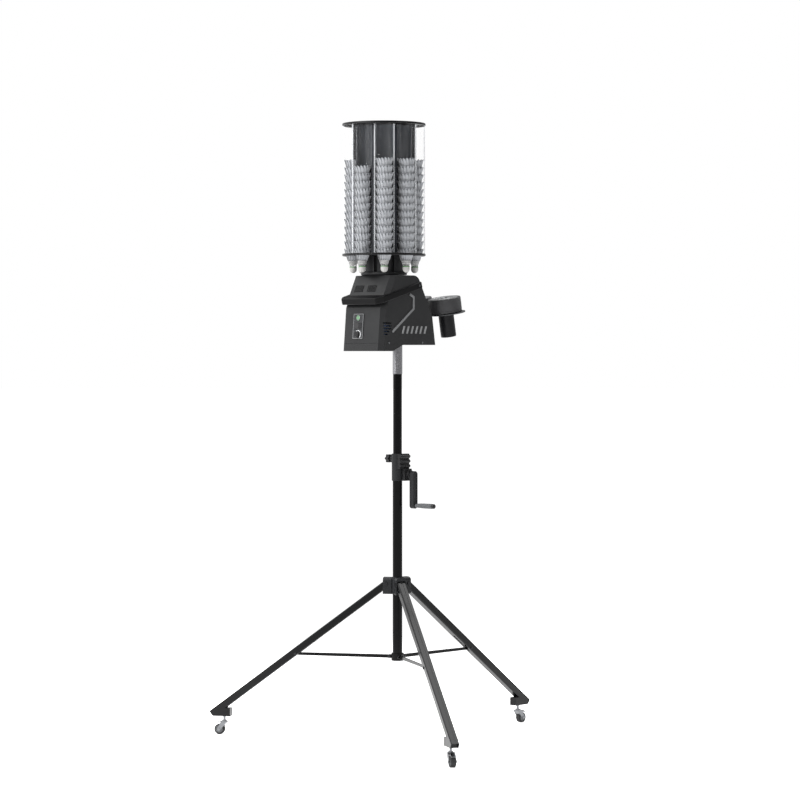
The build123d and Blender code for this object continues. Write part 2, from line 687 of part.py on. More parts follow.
with BuildPart() as control_board:
    with Locations((-126, 44, CHASSIS_TOP + 5)):
        Box(60, 72, 1.6)
    with Locations((-126, 44, CHASSIS_TOP + 2.1)):
        with GridLocations(50, 62, 2, 2):
            Cylinder(3, 4.2)
    with Locations((-140, 44, CHASSIS_TOP + 10.8)):
        Box(20, 30, 10)
    with Locations((-112, 58, CHASSIS_TOP + 9.3)):
        Box(18, 18, 7)
control_board.part.label = "control_board"
export_step(control_board.part, "parts/control_board.step")

# ---------------------------------------------------------------- head: casing


def body_block(inset):
    """The whole casing as one solid, with its skin drawn in by inset."""
    with BuildPart() as block:
        with BuildSketch(Plane.XZ) as side_face:
            with BuildLine():
                Polyline(*BODY_OUTLINE, close=True)
            make_face()
            fillet(side_face.vertices().sort_by_distance(NOSE_CORNER)[0], NOSE_RADIUS)
            if inset:
                offset(amount=-inset, kind=Kind.INTERSECTION, mode=Mode.REPLACE)
        extrude(amount=BODY_HALF_WIDTH - inset, both=True)
        # Broad corners between the control face, the hood's rear slope and the sides
        rear = block.faces().filter_by(lambda face: face.normal_at().X < -0.6)
        corners = rear.edges().filter_by(
            lambda edge: abs(abs(edge.center().Y) - (BODY_HALF_WIDTH - inset)) < 0.1
        )
        chamfer(corners, BODY_CORNER)
    return block.part


outer_block = body_block(0)
inner_block = body_block(BODY_WALL)

with BuildPart() as bumper_rim:
    with BuildSketch(RIM_PLANE.offset(-RIM_HEIGHT / 2)) as rim_face:
        with BuildLine():
            Polyline(
                (-26, -84),
                (-26, 84),
                (0, RIM_HALF_WIDTH),
                (206, RIM_HALF_WIDTH),
                (206, -RIM_HALF_WIDTH),
                (0, -RIM_HALF_WIDTH),
                close=True,
            )
        make_face()
        fillet(rim_face.vertices(), 8)
    extrude(amount=RIM_HEIGHT)
    fillet(bumper_rim.faces().filter_by(RIM_PLANE).edges(), 3.5)
    add(outer_block, mode=Mode.SUBTRACT)
    for x, z in RIM_SCREWS:
        cross_pin(x, z, SCREW_SHANK, -150, 150, mode=Mode.SUBTRACT)
bumper_rim.part.label = "bumper_rim"
export_step(bumper_rim.part, "parts/bumper_rim.step")

with BuildPart() as body_shell:
    add(outer_block)
    split(bisect_by=RIM_PLANE, keep=Keep.BOTTOM)
    add(inner_block, mode=Mode.SUBTRACT)
    # Ridge that runs down from the rim and back to the louvres, on both sides
    for side in (-1, 1):
        ridge_plane = Plane(
            origin=(0, side * BODY_HALF_WIDTH, 0), x_dir=(-side, 0, 0), z_dir=(0, side, 0)
        )
        with BuildSketch(ridge_plane):
            with BuildLine():
                Polyline(
                    (side * 41, 1602),
                    (side * 22, 1593),
                    (side * 22, 1551),
                    (side * 130, 1468),
                )
            trace(line_width=10)
        extrude(amount=2.4, taper=50)
    # Fine groove above the plinth
    plinth_x = -189 + face_run * (PLINTH_Z - 1400) / face_rise
    with Locations((plinth_x, 0, PLINTH_Z)):
        Box(2.4, 2 * (BODY_HALF_WIDTH - BODY_CORNER), 2.4, mode=Mode.SUBTRACT)
    # Post hole, control window and the louvres
    with BuildSketch(Plane.XY.offset(BODY_FLOOR - 5)):
        Circle(MAST_RADIUS)
    extrude(amount=15, mode=Mode.SUBTRACT)
    with BuildSketch(PANEL_PLANE.offset(-12)):
        Rectangle(PANEL_WIDTH - 6, PANEL_HEIGHT - 6)
    extrude(amount=24, mode=Mode.SUBTRACT)
    for slat, length in enumerate(LOUVRE_LENGTHS):
        with Locations((LOUVRE_X + length / 2, 0, LOUVRE_Z + LOUVRE_PITCH * slat)):
            Box(length, 2.5 * BODY_HALF_WIDTH, 4.6, mode=Mode.SUBTRACT)
    for x, z in SHELL_SCREWS:
        cross_pin(x, z, SCREW_SHANK, -150, 150, mode=Mode.SUBTRACT)
body_shell.part.label = "body_shell"
export_step(body_shell.part, "parts/body_shell.step")

with BuildPart() as hood:
    add(outer_block)
    split(bisect_by=RIM_PLANE, keep=Keep.TOP)
    add(inner_block, mode=Mode.SUBTRACT)
    # Opening that the carousel's spigot turns in
    with Locations((CAROUSEL_X, 0, ROOF_Z)):
        Cylinder(31, 20, mode=Mode.SUBTRACT)
    # Two grilles of upright slats in the rear slope
    grille_plane = Plane(origin=VENT_CENTRE, x_dir=(0, -1, 0), z_dir=VENT_NORMAL)
    with BuildSketch(grille_plane.offset(-10)):
        with Locations((-46, -15), (17, -15)):
            with GridLocations(6.4, 0, 7, 1):
                SlotOverall(28, 3.6, rotation=90)
    extrude(amount=20, mode=Mode.SUBTRACT)
    # Raised lip along the roof's rear edge
    with Locations((-122, 0, ROOF_Z + 1)):
        Box(5, 120, 2)
    with Locations((-112, -62, ROOF_Z + 1)):
        Cylinder(7, 2)
hood.part.label = "hood"
export_step(hood.part, "parts/hood.step")

with BuildPart() as shell_screws:
    for side in (-1, 1):
        places = [(x, BODY_HALF_WIDTH, z) for x, z in SHELL_SCREWS]
        places += [(x, RIM_HALF_WIDTH, z) for x, z in RIM_SCREWS]
        for x, y, z in places:
            head_plane = Plane(origin=(x, side * y, z), z_dir=(0, side, 0))
            with BuildSketch(head_plane):
                Circle(3.6)
            extrude(amount=1.6)
            with BuildSketch(head_plane):
                Circle(SCREW_SHANK)
            extrude(amount=-BODY_WALL)
            # Cross recess
            with Locations((x, side * (y + 1.4), z)):
                Box(4.4, 1.4, 0.9, mode=Mode.SUBTRACT)
                Box(0.9, 1.4, 4.4, mode=Mode.SUBTRACT)
shell_screws.part.label = "shell_screws"
export_step(shell_screws.part, "parts/shell_screws.step")

# ---------------------------------------------------------------- head: controls

PANEL_RAISE = 2.5

with BuildPart() as control_panel:
    with BuildSketch(PANEL_PLANE):
        RectangleRounded(PANEL_WIDTH, PANEL_HEIGHT, 3)
    extrude(amount=PANEL_RAISE)
    with BuildSketch(PANEL_PLANE):
        Rectangle(PANEL_WIDTH - 6.4, PANEL_HEIGHT - 6.4)
    extrude(amount=-4)
    with BuildSketch(PANEL_PLANE.offset(-10)):
        with Locations((0, BUTTON_Y)):
            Circle(BUTTON_RADIUS + 0.3)
        with Locations((0, ROCKER_Y)):
            Rectangle(ROCKER_WIDTH + 4, ROCKER_HEIGHT + 0.8)
        with Locations((0, DIAL_Y)):
            Circle(4.3)
    extrude(amount=20, mode=Mode.SUBTRACT)
    # Raised bezel round the rocker
    with BuildSketch(PANEL_PLANE.offset(PANEL_RAISE)):
        with Locations((0, ROCKER_Y)):
            RectangleRounded(ROCKER_WIDTH + 7, ROCKER_HEIGHT + 4, 2)
            Rectangle(ROCKER_WIDTH + 4, ROCKER_HEIGHT + 0.8, mode=Mode.SUBTRACT)
    extrude(amount=1)
control_panel.part.label = "control_panel"
export_step(control_panel.part, "parts/control_panel.step")

with BuildPart() as power_button:
    with BuildSketch(PANEL_PLANE.offset(-8)):
        with Locations((0, BUTTON_Y)):
            Circle(BUTTON_RADIUS)
    extrude(amount=8 + PANEL_RAISE + 2.2)
    fillet(power_button.faces().sort_by(Axis.X)[0].edges(), 1.2)
power_button.part.label = "power_button"
export_step(power_button.part, "parts/power_button.step")

# The rocker's cross-section lies across the panel, turned to its resting tilt
rocker_origin = PANEL_PLANE.from_local_coords((0, ROCKER_Y - ROCKER_HEIGHT / 2, -ROCKER_PIVOT_DEPTH))
rocker_section = Plane(
    origin=rocker_origin, x_dir=PANEL_PLANE.x_dir, z_dir=PANEL_PLANE.y_dir
).rotated((0, 0, ROCKER_TILT))

with BuildPart() as rocker_switch:
    with BuildSketch(rocker_section):
        with BuildLine():
            Polyline(
                (-ROCKER_WIDTH / 2, 3),
                (-ROCKER_WIDTH / 2, -11.5),
                (0, -8.5),
                (ROCKER_WIDTH / 2, -11.5),
                (ROCKER_WIDTH / 2, 3),
                close=True,
            )
        make_face()
    extrude(amount=ROCKER_HEIGHT)
rocker_switch.part.label = "rocker_switch"
export_step(rocker_switch.part, "parts/rocker_switch.step")

with BuildPart() as speed_dial:
    with BuildSketch(PANEL_PLANE.offset(PANEL_RAISE + 0.4)):
        with Locations((0, DIAL_Y)):
            Circle(DIAL_RADIUS)
    extrude(amount=8, taper=4)
    fillet(speed_dial.faces().sort_by(Axis.X)[0].edges(), 1)
    with BuildSketch(PANEL_PLANE.offset(-10)):
        with Locations((0, DIAL_Y)):
            Circle(4)
    extrude(amount=14)
    # Pointer groove across the cap
    with BuildSketch(PANEL_PLANE.offset(PANEL_RAISE + 7.4)):
        with Locations((0, DIAL_Y + 6)):
            Rectangle(1.6, 8)
    extrude(amount=2, mode=Mode.SUBTRACT)
speed_dial.part.label = "speed_dial"
export_step(speed_dial.part, "parts/speed_dial.step")

# ---------------------------------------------------------------- launcher

TILT_WALL_NORMAL = (74 / hypot(74, 38), 0, 38 / hypot(74, 38))
WALL_PLANE = Plane(origin=(76, 0, 1526), x_dir=(0, 1, 0), z_dir=TILT_WALL_NORMAL)
TILT_PIVOT = LAUNCH_SIDE.from_local_coords((TILT_AXIS_P, TILT_AXIS_W, 0))
EAR_INNER_Y = 32.8
EAR_THICKNESS = 4.0
CHEEK_OUTER_Y = 32.0
CHEEK_THICKNESS = 3.0
DECK_TOP_W = -28.5
DECK_THICKNESS = 3.0

with BuildPart() as launcher_mount:
    with BuildSketch(WALL_PLANE):
        with Locations((0, 33)):
            RectangleRounded(88, 62, 5)
    extrude(amount=3)
    for side in (-1, 1):
        with BuildSketch(Plane.XZ.offset(-side * EAR_INNER_Y)):
            with Locations((TILT_PIVOT.X, TILT_PIVOT.Z)):
                Circle(9)
            with BuildLine():
                Polyline((75.5, 1531), (58, 1565), (59, 1566), (77, 1532), close=True)
            make_face()
            make_hull()
        extrude(amount=-side * EAR_THICKNESS)
    # Bolts that fix the plate to the casing
    with BuildSketch(WALL_PLANE.offset(3)):
        with Locations((0, 33)):
            with GridLocations(54, 40, 2, 2):
                RegularPolygon(4.5, 6)
    extrude(amount=3)
    cross_pin(TILT_PIVOT.X, TILT_PIVOT.Z, 3.0, -60, 60, mode=Mode.SUBTRACT)

with BuildPart() as tilt_pins:
    for side in (-1, 1):
        low, high = sorted((side * 28.4, side * 38))
        cross_pin(TILT_PIVOT.X, TILT_PIVOT.Z, 3.0, low, high)
        low, high = sorted((side * (EAR_INNER_Y + EAR_THICKNESS), side * 39))
        cross_pin(TILT_PIVOT.X, TILT_PIVOT.Z, 5.5, low, high)
mount_and_pins = Compound(children=[launcher_mount.part, tilt_pins.part])
mount_and_pins.label = "launcher_mount"
export_step(mount_and_pins, "parts/launcher_mount.step")

with BuildPart() as launch_bracket:
    with BuildSketch(LAUNCH_PLANE.offset(DECK_TOP_W - DECK_THICKNESS)):
        with Locations((-30, 0)):
            RectangleRounded(104, 2 * CHEEK_OUTER_Y, 2)
        with Locations((4, -WHEEL_OFFSET - 3), (4, WHEEL_OFFSET + 3)):
            Circle(66)
        # Slot that the feed pusher's foot runs in, and the motors' bosses
        with Locations((-46, 0)):
            SlotOverall(64, 8, mode=Mode.SUBTRACT)
        with Locations((0, -WHEEL_OFFSET), (0, WHEEL_OFFSET)):
            Circle(11, mode=Mode.SUBTRACT)
    extrude(amount=DECK_THICKNESS)
    for side in (-1, 1):
        with BuildSketch(LAUNCH_SIDE.offset(-side * CHEEK_OUTER_Y)):
            with Locations((TILT_AXIS_P, TILT_AXIS_W)):
                Circle(9)
            with Locations((-62, DECK_TOP_W + 1)):
                Rectangle(30, 6)
            make_hull()
        extrude(amount=side * CHEEK_THICKNESS)
    cross_pin(TILT_PIVOT.X, TILT_PIVOT.Z, 3.06, -60, 60, mode=Mode.SUBTRACT)
launch_bracket.part.label = "launch_bracket"
export_step(launch_bracket.part, "parts/launch_bracket.step")

motor_top_w = DECK_TOP_W - DECK_THICKNESS

with BuildPart() as launch_motors:
    with BuildSketch(LAUNCH_PLANE.offset(motor_top_w - MOTOR_LENGTH)):
        with Locations((0, -WHEEL_OFFSET), (0, WHEEL_OFFSET)):
            Circle(MOTOR_RADIUS)
    extrude(amount=MOTOR_LENGTH)
    fillet(launch_motors.edges().filter_by(GeomType.CIRCLE), 2.5)
    with BuildSketch(LAUNCH_PLANE.offset(motor_top_w - 3)):
        with Locations((0, -WHEEL_OFFSET), (0, WHEEL_OFFSET)):
            Circle(10.8)
    extrude(amount=3 + DECK_THICKNESS)
    with BuildSketch(LAUNCH_PLANE.offset(motor_top_w)):
        with Locations((0, -WHEEL_OFFSET), (0, WHEEL_OFFSET)):
            Circle(4)
    extrude(amount=42)
launch_motors.part.label = "launch_motors"
export_step(launch_motors.part, "parts/launch_motors.step")


def launch_drum(side):
    """A rubber-faced drum with a dished top, an inner hub and a hollow underside."""
    with BuildPart() as drum:
        drum_axis = Plane(
            origin=LAUNCH_PLANE.from_local_coords((0, side * WHEEL_OFFSET, 0)),
            x_dir=LAUNCH_PLANE.x_dir,
            z_dir=(0, -1, 0),
        )
        half = DRUM_HEIGHT / 2
        with BuildSketch(drum_axis):
            with BuildLine():
                Polyline(
                    (4.06, -half + 4),
                    (15, -half + 4),
                    (15, half - 9),
                    (50, half - 9),
                    (50, -half),
                    (DRUM_RADIUS, -half),
                    (DRUM_RADIUS, half - 2.5),
                    (DRUM_RADIUS - 2.5, half),
                    (50, half),
                    (48, half - 2),
                    (22, half - 2),
                    (20, half),
                    (15, half),
                    (13, half - 6),
                    (4.06, half - 6),
                    close=True,
                )
            make_face()
        revolve(axis=Axis(drum_axis.origin, LAUNCH_PLANE.z_dir))
    return drum.part


for side, name in ((1, "launch_wheel_left"), (-1, "launch_wheel_right")):
    wheel = launch_drum(side)
    wheel.label = name
    export_step(wheel, f"parts/{name}.step")

with BuildPart() as feed_pusher:
    with BuildSketch(LAUNCH_PLANE.offset(DECK_TOP_W + 0.3)):
        with Locations((-70, 0)):
            RectangleRounded(12, 17, 2)
    extrude(amount=18)
    # Cup that takes the cork, the neck in the deck's slot and the keeper below it
    with Locations(Location(LAUNCH_PLANE.from_local_coords((-62, 0, DECK_TOP_W + 16)))):
        Sphere(CORK_RADIUS - 4, mode=Mode.SUBTRACT)
    with BuildSketch(LAUNCH_PLANE.offset(DECK_TOP_W - DECK_THICKNESS - 0.4)):
        with Locations((-70, 0)):
            Rectangle(10, 7.2)
    extrude(amount=DECK_THICKNESS + 1)
    with BuildSketch(LAUNCH_PLANE.offset(DECK_TOP_W - DECK_THICKNESS - 3.4)):
        with Locations((-70, 0)):
            Rectangle(12, 16)
    extrude(amount=3)
feed_pusher.part.label = "feed_pusher"
export_step(feed_pusher.part, "parts/feed_pusher.step")

# ---------------------------------------------------------------- magazine carousel

CAROUSEL_PLANE = Plane(origin=(CAROUSEL_X, 0, 0), z_dir=(0, 0, 1))
STACK_TURN = 360 / STACK_COUNT

with BuildPart() as hub_column:
    with BuildSketch(CAROUSEL_PLANE.offset(ROOF_Z + 3)):
        Circle(HUB_RADIUS + 4)
    extrude(amount=6)
    with BuildSketch(CAROUSEL_PLANE.offset(ROOF_Z + 9)):
        Circle(HUB_RADIUS + 4)
    with BuildSketch(CAROUSEL_PLANE.offset(ROOF_Z + 15)):
        Circle(HUB_RADIUS)
    loft()
    with BuildSketch(CAROUSEL_PLANE.offset(ROOF_Z + 15)):
        Circle(HUB_RADIUS)
    extrude(amount=BASE_PLATE_Z - ROOF_Z - 15)
    # Upright recesses between the corks
    with BuildSketch(CAROUSEL_PLANE.offset(ROOF_Z + 12)):
        with PolarLocations(HUB_RADIUS, STACK_COUNT, start_angle=STACK_TURN / 2):
            RectangleRounded(26, 13, 3)
    extrude(amount=BASE_PLATE_Z - ROOF_Z - 12, mode=Mode.SUBTRACT)
    # Spigot down through the roof to the gear, and the spindle's bore
    with BuildSketch(CAROUSEL_PLANE.offset(GEAR_Z)):
        Circle(28)
    extrude(amount=ROOF_Z + 3 - GEAR_Z)
    with BuildSketch(CAROUSEL_PLANE.offset(GEAR_Z)):
        Circle(10.08)
    extrude(amount=BASE_PLATE_Z - GEAR_Z, mode=Mode.SUBTRACT)
    # The moulding is hollow above its floor
    with BuildSketch(CAROUSEL_PLANE.offset(ROOF_Z + 20)):
        Circle(58)
        Circle(18, mode=Mode.SUBTRACT)
    extrude(amount=BASE_PLATE_Z - ROOF_Z - 20, mode=Mode.SUBTRACT)
hub_column.part.label = "hub_column"
export_step(hub_column.part, "parts/hub_column.step")

with BuildPart() as carousel_gear:
    with BuildSketch(CAROUSEL_PLANE.offset(GEAR_Z)):
        add(gear_sketch(GEAR_TEETH, GEAR_MODULE, 0.8))
        Circle(28, mode=Mode.SUBTRACT)
    extrude(amount=GEAR_FACE)
carousel_gear.part.label = "carousel_gear"
export_step(carousel_gear.part, "parts/carousel_gear.step")

with BuildPart() as magazine_base_plate:
    with BuildSketch(CAROUSEL_PLANE.offset(BASE_PLATE_Z)):
        Circle(PLATE_RADIUS)
        with PolarLocations(STACK_PITCH_RADIUS, STACK_COUNT):
            Circle(SKIRT_RADIUS + 1.5, mode=Mode.SUBTRACT)
    extrude(amount=PLATE_THICKNESS)
    chamfer(magazine_base_plate.edges().filter_by(GeomType.CIRCLE).group_by(SortBy.RADIUS)[-1], 1.2)
magazine_base_plate.part.label = "magazine_base_plate"
export_step(magazine_base_plate.part, "parts/magazine_base_plate.step")

tube_floor = BASE_PLATE_Z + PLATE_THICKNESS

with BuildPart() as magazine_core:
    with BuildSketch(CAROUSEL_PLANE.offset(tube_floor)):
        Circle(CORE_RADIUS)
        with PolarLocations(STACK_PITCH_RADIUS, STACK_COUNT):
            Circle(TUBE_RADIUS + 0.3, mode=Mode.SUBTRACT)
        Circle(62, mode=Mode.SUBTRACT)
    extrude(amount=TOP_PLATE_Z - tube_floor)
magazine_core.part.label = "magazine_core"
export_step(magazine_core.part, "parts/magazine_core.step")

with BuildPart() as magazine_tubes:
    with BuildSketch(CAROUSEL_PLANE.offset(tube_floor)):
        with PolarLocations(STACK_PITCH_RADIUS, STACK_COUNT):
            Circle(TUBE_RADIUS)
            Circle(TUBE_BORE, mode=Mode.SUBTRACT)
    extrude(amount=TOP_PLATE_Z - tube_floor)
magazine_tubes.part.label = "magazine_tubes"
export_step(magazine_tubes.part, "parts/magazine_tubes.step")

with BuildPart() as magazine_top_plate:
    with BuildSketch(CAROUSEL_PLANE.offset(TOP_PLATE_Z)):
        Circle(PLATE_RADIUS)
        with PolarLocations(STACK_PITCH_RADIUS, STACK_COUNT):
            Circle(TUBE_BORE, mode=Mode.SUBTRACT)
    extrude(amount=PLATE_THICKNESS)
    chamfer(magazine_top_plate.edges().filter_by(GeomType.CIRCLE).group_by(SortBy.RADIUS)[-1], 1.2)
magazine_top_plate.part.label = "magazine_top_plate"
export_step(magazine_top_plate.part, "parts/magazine_top_plate.step")


def shuttle_stack(angle, shuttles):
    """Nested shuttlecocks as one cork and one thin skirt that is as long as the stack."""
    cork_top = CORK_TIP_Z + CORK_LENGTH
    skirt_bottom = CORK_TIP_Z + SHUTTLE_LENGTH
    skirt_top = skirt_bottom + (shuttles - 1) * NEST_PITCH
    skin = 0.9
    with BuildPart() as stack:
        with BuildSketch(Plane.XZ):
            with BuildLine():
                CenterArc((0, CORK_TIP_Z + CORK_RADIUS), CORK_RADIUS, 270, 90)
                Polyline(
                    (CORK_RADIUS, CORK_TIP_Z + CORK_RADIUS),
                    (CORK_RADIUS, cork_top),
                    (SKIRT_RADIUS, skirt_bottom),
                    (SKIRT_RADIUS, skirt_top),
                    (SKIRT_RADIUS - skin, skirt_top),
                    (SKIRT_RADIUS - skin, skirt_bottom + skin),
                    (CORK_RADIUS - skin, cork_top),
                    (0, cork_top),
                    (0, CORK_TIP_Z),
                )
            make_face()
        revolve(axis=Axis.Z)
    turn = radians(angle)
    place = (STACK_PITCH_RADIUS * cos(turn) + CAROUSEL_X, STACK_PITCH_RADIUS * sin(turn), 0)
    return stack.part.moved(Location(place))


with BuildPart() as shuttle_stacks:
    for place in range(STACK_COUNT):
        add(shuttle_stack(place * STACK_TURN, FULL_STACK - (1 if place == 4 else 0)))
shuttle_stacks.part.label = "shuttle_stacks"
export_step(shuttle_stacks.part, "parts/shuttle_stacks.step")
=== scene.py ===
"""Looks for a shuttlecock launching machine on its wind-up tripod stand.

Metres, in the CAD frame: the origin is on the floor under the mast, +X is the launch
direction, +Y is the machine's left and +Z is up.
"""

import json
from math import cos, pi, radians, sin
from random import Random

import bmesh
import bpy
from mathutils import Matrix, Vector


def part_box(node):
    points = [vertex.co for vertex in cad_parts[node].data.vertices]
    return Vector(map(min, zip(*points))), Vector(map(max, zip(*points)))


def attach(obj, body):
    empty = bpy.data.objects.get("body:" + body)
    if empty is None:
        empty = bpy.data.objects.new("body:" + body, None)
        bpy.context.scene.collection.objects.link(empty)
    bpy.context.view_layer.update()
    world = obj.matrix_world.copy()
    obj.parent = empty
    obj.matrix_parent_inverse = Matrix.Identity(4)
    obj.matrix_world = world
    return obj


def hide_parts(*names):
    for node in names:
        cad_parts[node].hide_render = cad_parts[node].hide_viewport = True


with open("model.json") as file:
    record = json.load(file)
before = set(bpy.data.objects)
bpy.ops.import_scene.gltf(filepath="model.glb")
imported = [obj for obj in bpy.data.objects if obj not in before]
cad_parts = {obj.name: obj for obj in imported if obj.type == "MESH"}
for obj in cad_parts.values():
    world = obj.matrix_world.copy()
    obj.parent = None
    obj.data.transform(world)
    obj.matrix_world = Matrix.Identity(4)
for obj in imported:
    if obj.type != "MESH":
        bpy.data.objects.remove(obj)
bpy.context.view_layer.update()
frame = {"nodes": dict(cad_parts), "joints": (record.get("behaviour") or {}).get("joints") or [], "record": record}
nodes = frame["nodes"]
scene = bpy.context.scene
MM = 0.001


# ---------------------------------------------------------------- materials


class Surface:
    """A Principled material, and short ways to add the detail nodes that it needs."""

    def __init__(self, name, colour, roughness, metallic=0.0, specular=0.5, coat=0.0):
        self.material = bpy.data.materials.new(name)
        self.material.use_nodes = True
        self.tree = self.material.node_tree
        self.shader = self.tree.nodes["Principled BSDF"]
        self.colour = colour
        self.roughness = roughness
        self.set("Base Color", (*colour, 1))
        self.set("Roughness", roughness)
        self.set("Metallic", metallic)
        self.set("Specular IOR Level", specular)
        self.set("Coat Weight", coat)
        self.set("Coat Roughness", 0.08)
        self.place = self.add("ShaderNodeTexCoord").outputs["Object"]
        self.tone = None
        self.normal = None

    def set(self, socket, value):
        self.shader.inputs[socket].default_value = value

    def add(self, kind, **values):
        node = self.tree.nodes.new(kind)
        for key, value in values.items():
            setattr(node, key, value)
        return node

    def link(self, source, target):
        self.tree.links.new(source, target)

    def scaled(self, stretch):
        """Object coordinates, multiplied along each axis."""
        node = self.add("ShaderNodeVectorMath", operation="MULTIPLY")
        self.link(self.place, node.inputs[0])
        node.inputs[1].default_value = stretch
        return node.outputs["Vector"]

    def noise(self, scale, detail=3.0, rough=0.55, stretch=None):
        node = self.add("ShaderNodeTexNoise")
        self.link(self.scaled(stretch) if stretch else self.place, node.inputs["Vector"])
        node.inputs["Scale"].default_value = scale
        node.inputs["Detail"].default_value = detail
        node.inputs["Roughness"].default_value = rough
        return node.outputs[0]

    def ranged(self, value, low, high, start=0.0, end=1.0):
        node = self.add("ShaderNodeMapRange")
        self.link(value, node.inputs["Value"])
        node.inputs["From Min"].default_value = start
        node.inputs["From Max"].default_value = end
        node.inputs["To Min"].default_value = low
        node.inputs["To Max"].default_value = high
        return node.outputs["Result"]

    def math(self, operation, first, second):
        node = self.add("ShaderNodeMath", operation=operation)
        for socket, value in zip(node.inputs, (first, second)):
            if isinstance(value, (int, float)):
                socket.default_value = value
            else:
                self.link(value, socket)
        return node.outputs[0]

    def mix(self, factor, first, second):
        """Mix two colours, each of them a tuple or an output."""
        node = self.add("ShaderNodeMix", data_type="RGBA")
        self.link(factor, node.inputs[0])
        for socket, value in ((node.inputs[6], first), (node.inputs[7], second)):
            if isinstance(value, tuple):
                socket.default_value = (*value, 1)
            else:
                self.link(value, socket)
        return node.outputs[2]

    def mottle(self, scale=14.0, amount=0.2, stretch=None):
        """Slow, faint changes of tone over the whole surface."""
        field = self.ranged(self.noise(scale, 4, 0.6, stretch), 0, 1, 0.3, 0.7)
        dark = tuple(c * (1 - amount) for c in self.colour)
        light = tuple(min(1.0, c * (1 + amount)) for c in self.colour)
        self.tone = self.mix(field, dark, light)
        self.link(self.tone, self.shader.inputs["Base Color"])
        return self

    def over(self, factor, colour):
        """Lay another colour over the tone where factor is high."""
        self.tone = self.mix(factor, self.tone or self.colour, colour)
        self.link(self.tone, self.shader.inputs["Base Color"])
        return self

    def uneven(self, scale=60.0, amount=0.08, stretch=None):
        """Roughness that varies, as from handling and dust."""
        low, high = self.roughness - amount, self.roughness + amount
        varied = self.ranged(self.noise(scale, 4, 0.6, stretch), max(low, 0.02), high, 0.3, 0.7)
        self.link(varied, self.shader.inputs["Roughness"])
        return self

    def edges(self, radius=0.0007, worn=None, strength=0.5):
        """Soft edges, with paint or moulding that is lighter where they are rubbed."""
        bevel = self.add("ShaderNodeBevel", samples=4)
        bevel.inputs["Radius"].default_value = radius
        self.normal = bevel.outputs["Normal"]
        self.link(self.normal, self.shader.inputs["Normal"])
        if worn:
            facing = self.add("ShaderNodeVectorMath", operation="DOT_PRODUCT")
            self.link(self.normal, facing.inputs[0])
            self.link(self.add("ShaderNodeNewGeometry").outputs["Normal"], facing.inputs[1])
            near = self.ranged(facing.outputs["Value"], strength, 0.0, 0.80, 0.985)
            broken = self.ranged(self.noise(170, 5, 0.7), 0.15, 1.0, 0.42, 0.62)
            self.over(self.math("MULTIPLY", near, broken), worn)
        return self

    def bump(self, height, depth):
        node = self.add("ShaderNodeBump")
        node.inputs["Distance"].default_value = depth
        self.link(height, node.inputs["Height"])
        if self.normal:
            self.link(self.normal, node.inputs["Normal"])
        self.normal = node.outputs["Normal"]
        self.link(self.normal, self.shader.inputs["Normal"])
        return self

    def grain(self, scale=900.0, depth=0.00006, stretch=None):
        return self.bump(self.noise(scale, 2, 0.5, stretch), depth)

    def scratches(self, stretch, colour, amount=0.35):
        """Fine rubbed lines, stretched along one direction."""
        lines = self.ranged(self.noise(40, 6, 0.7, stretch), 0, amount, 0.6, 0.72)
        return self.over(lines, colour)


def paint(name, colour, roughness=0.22, coat=0.15, worn=(0.1, 0.1, 0.105), specular=0.3):
    made = Surface(name, colour, roughness, specular=specular, coat=coat).mottle(6, 0.18)
    made.uneven(35, 0.05).edges(0.0009, worn, 0.3)
    return made.grain(220, 0.000012).material


def plastic(name, colour, roughness=0.5, spark=1500.0, depth=0.00003, worn=(0.09, 0.092, 0.096)):
    made = Surface(name, colour, roughness, specular=0.2).mottle(9, 0.14)
    made.uneven(45, 0.08).edges(0.0011, worn, 0.45)
    return made.grain(spark, depth).material


def metal(name, colour, roughness=0.3, stretch=(1, 1, 12), depth=0.00003):
    made = Surface(name, colour, roughness, metallic=1.0).mottle(16, 0.12)
    made.uneven(120, 0.09, stretch).edges(0.0005)
    return made.grain(500, depth, stretch).material


def clear_tube():
    """Thin clear polycarbonate: seen through face on, and towards the edges more opaque and near white, a painted
    reflection.
    """
    made = Surface("clear_polycarbonate", (0.9, 0.92, 0.95), 0.06, specular=0.6)
    made.mottle(8, 0.03)
    facing = made.add("ShaderNodeLayerWeight")
    facing.inputs["Blend"].default_value = 0.32
    rubbed = made.ranged(made.noise(60, 5, 0.7, (1, 1, 0.06)), 0.0, 0.015, 0.5, 0.75)
    # Painted reflection: the near-white base shows through more at grazing angles, drawing bright lines along each
    # tube's edges.
    painted_edge_reflection = made.ranged(facing.outputs["Facing"], 0.008, 0.7, 0.35, 0.85)
    made.link(made.math("ADD", painted_edge_reflection, rubbed), made.shader.inputs["Alpha"])
    made.grain(30, 0.00004, (1, 1, 0.1))
    return made.material


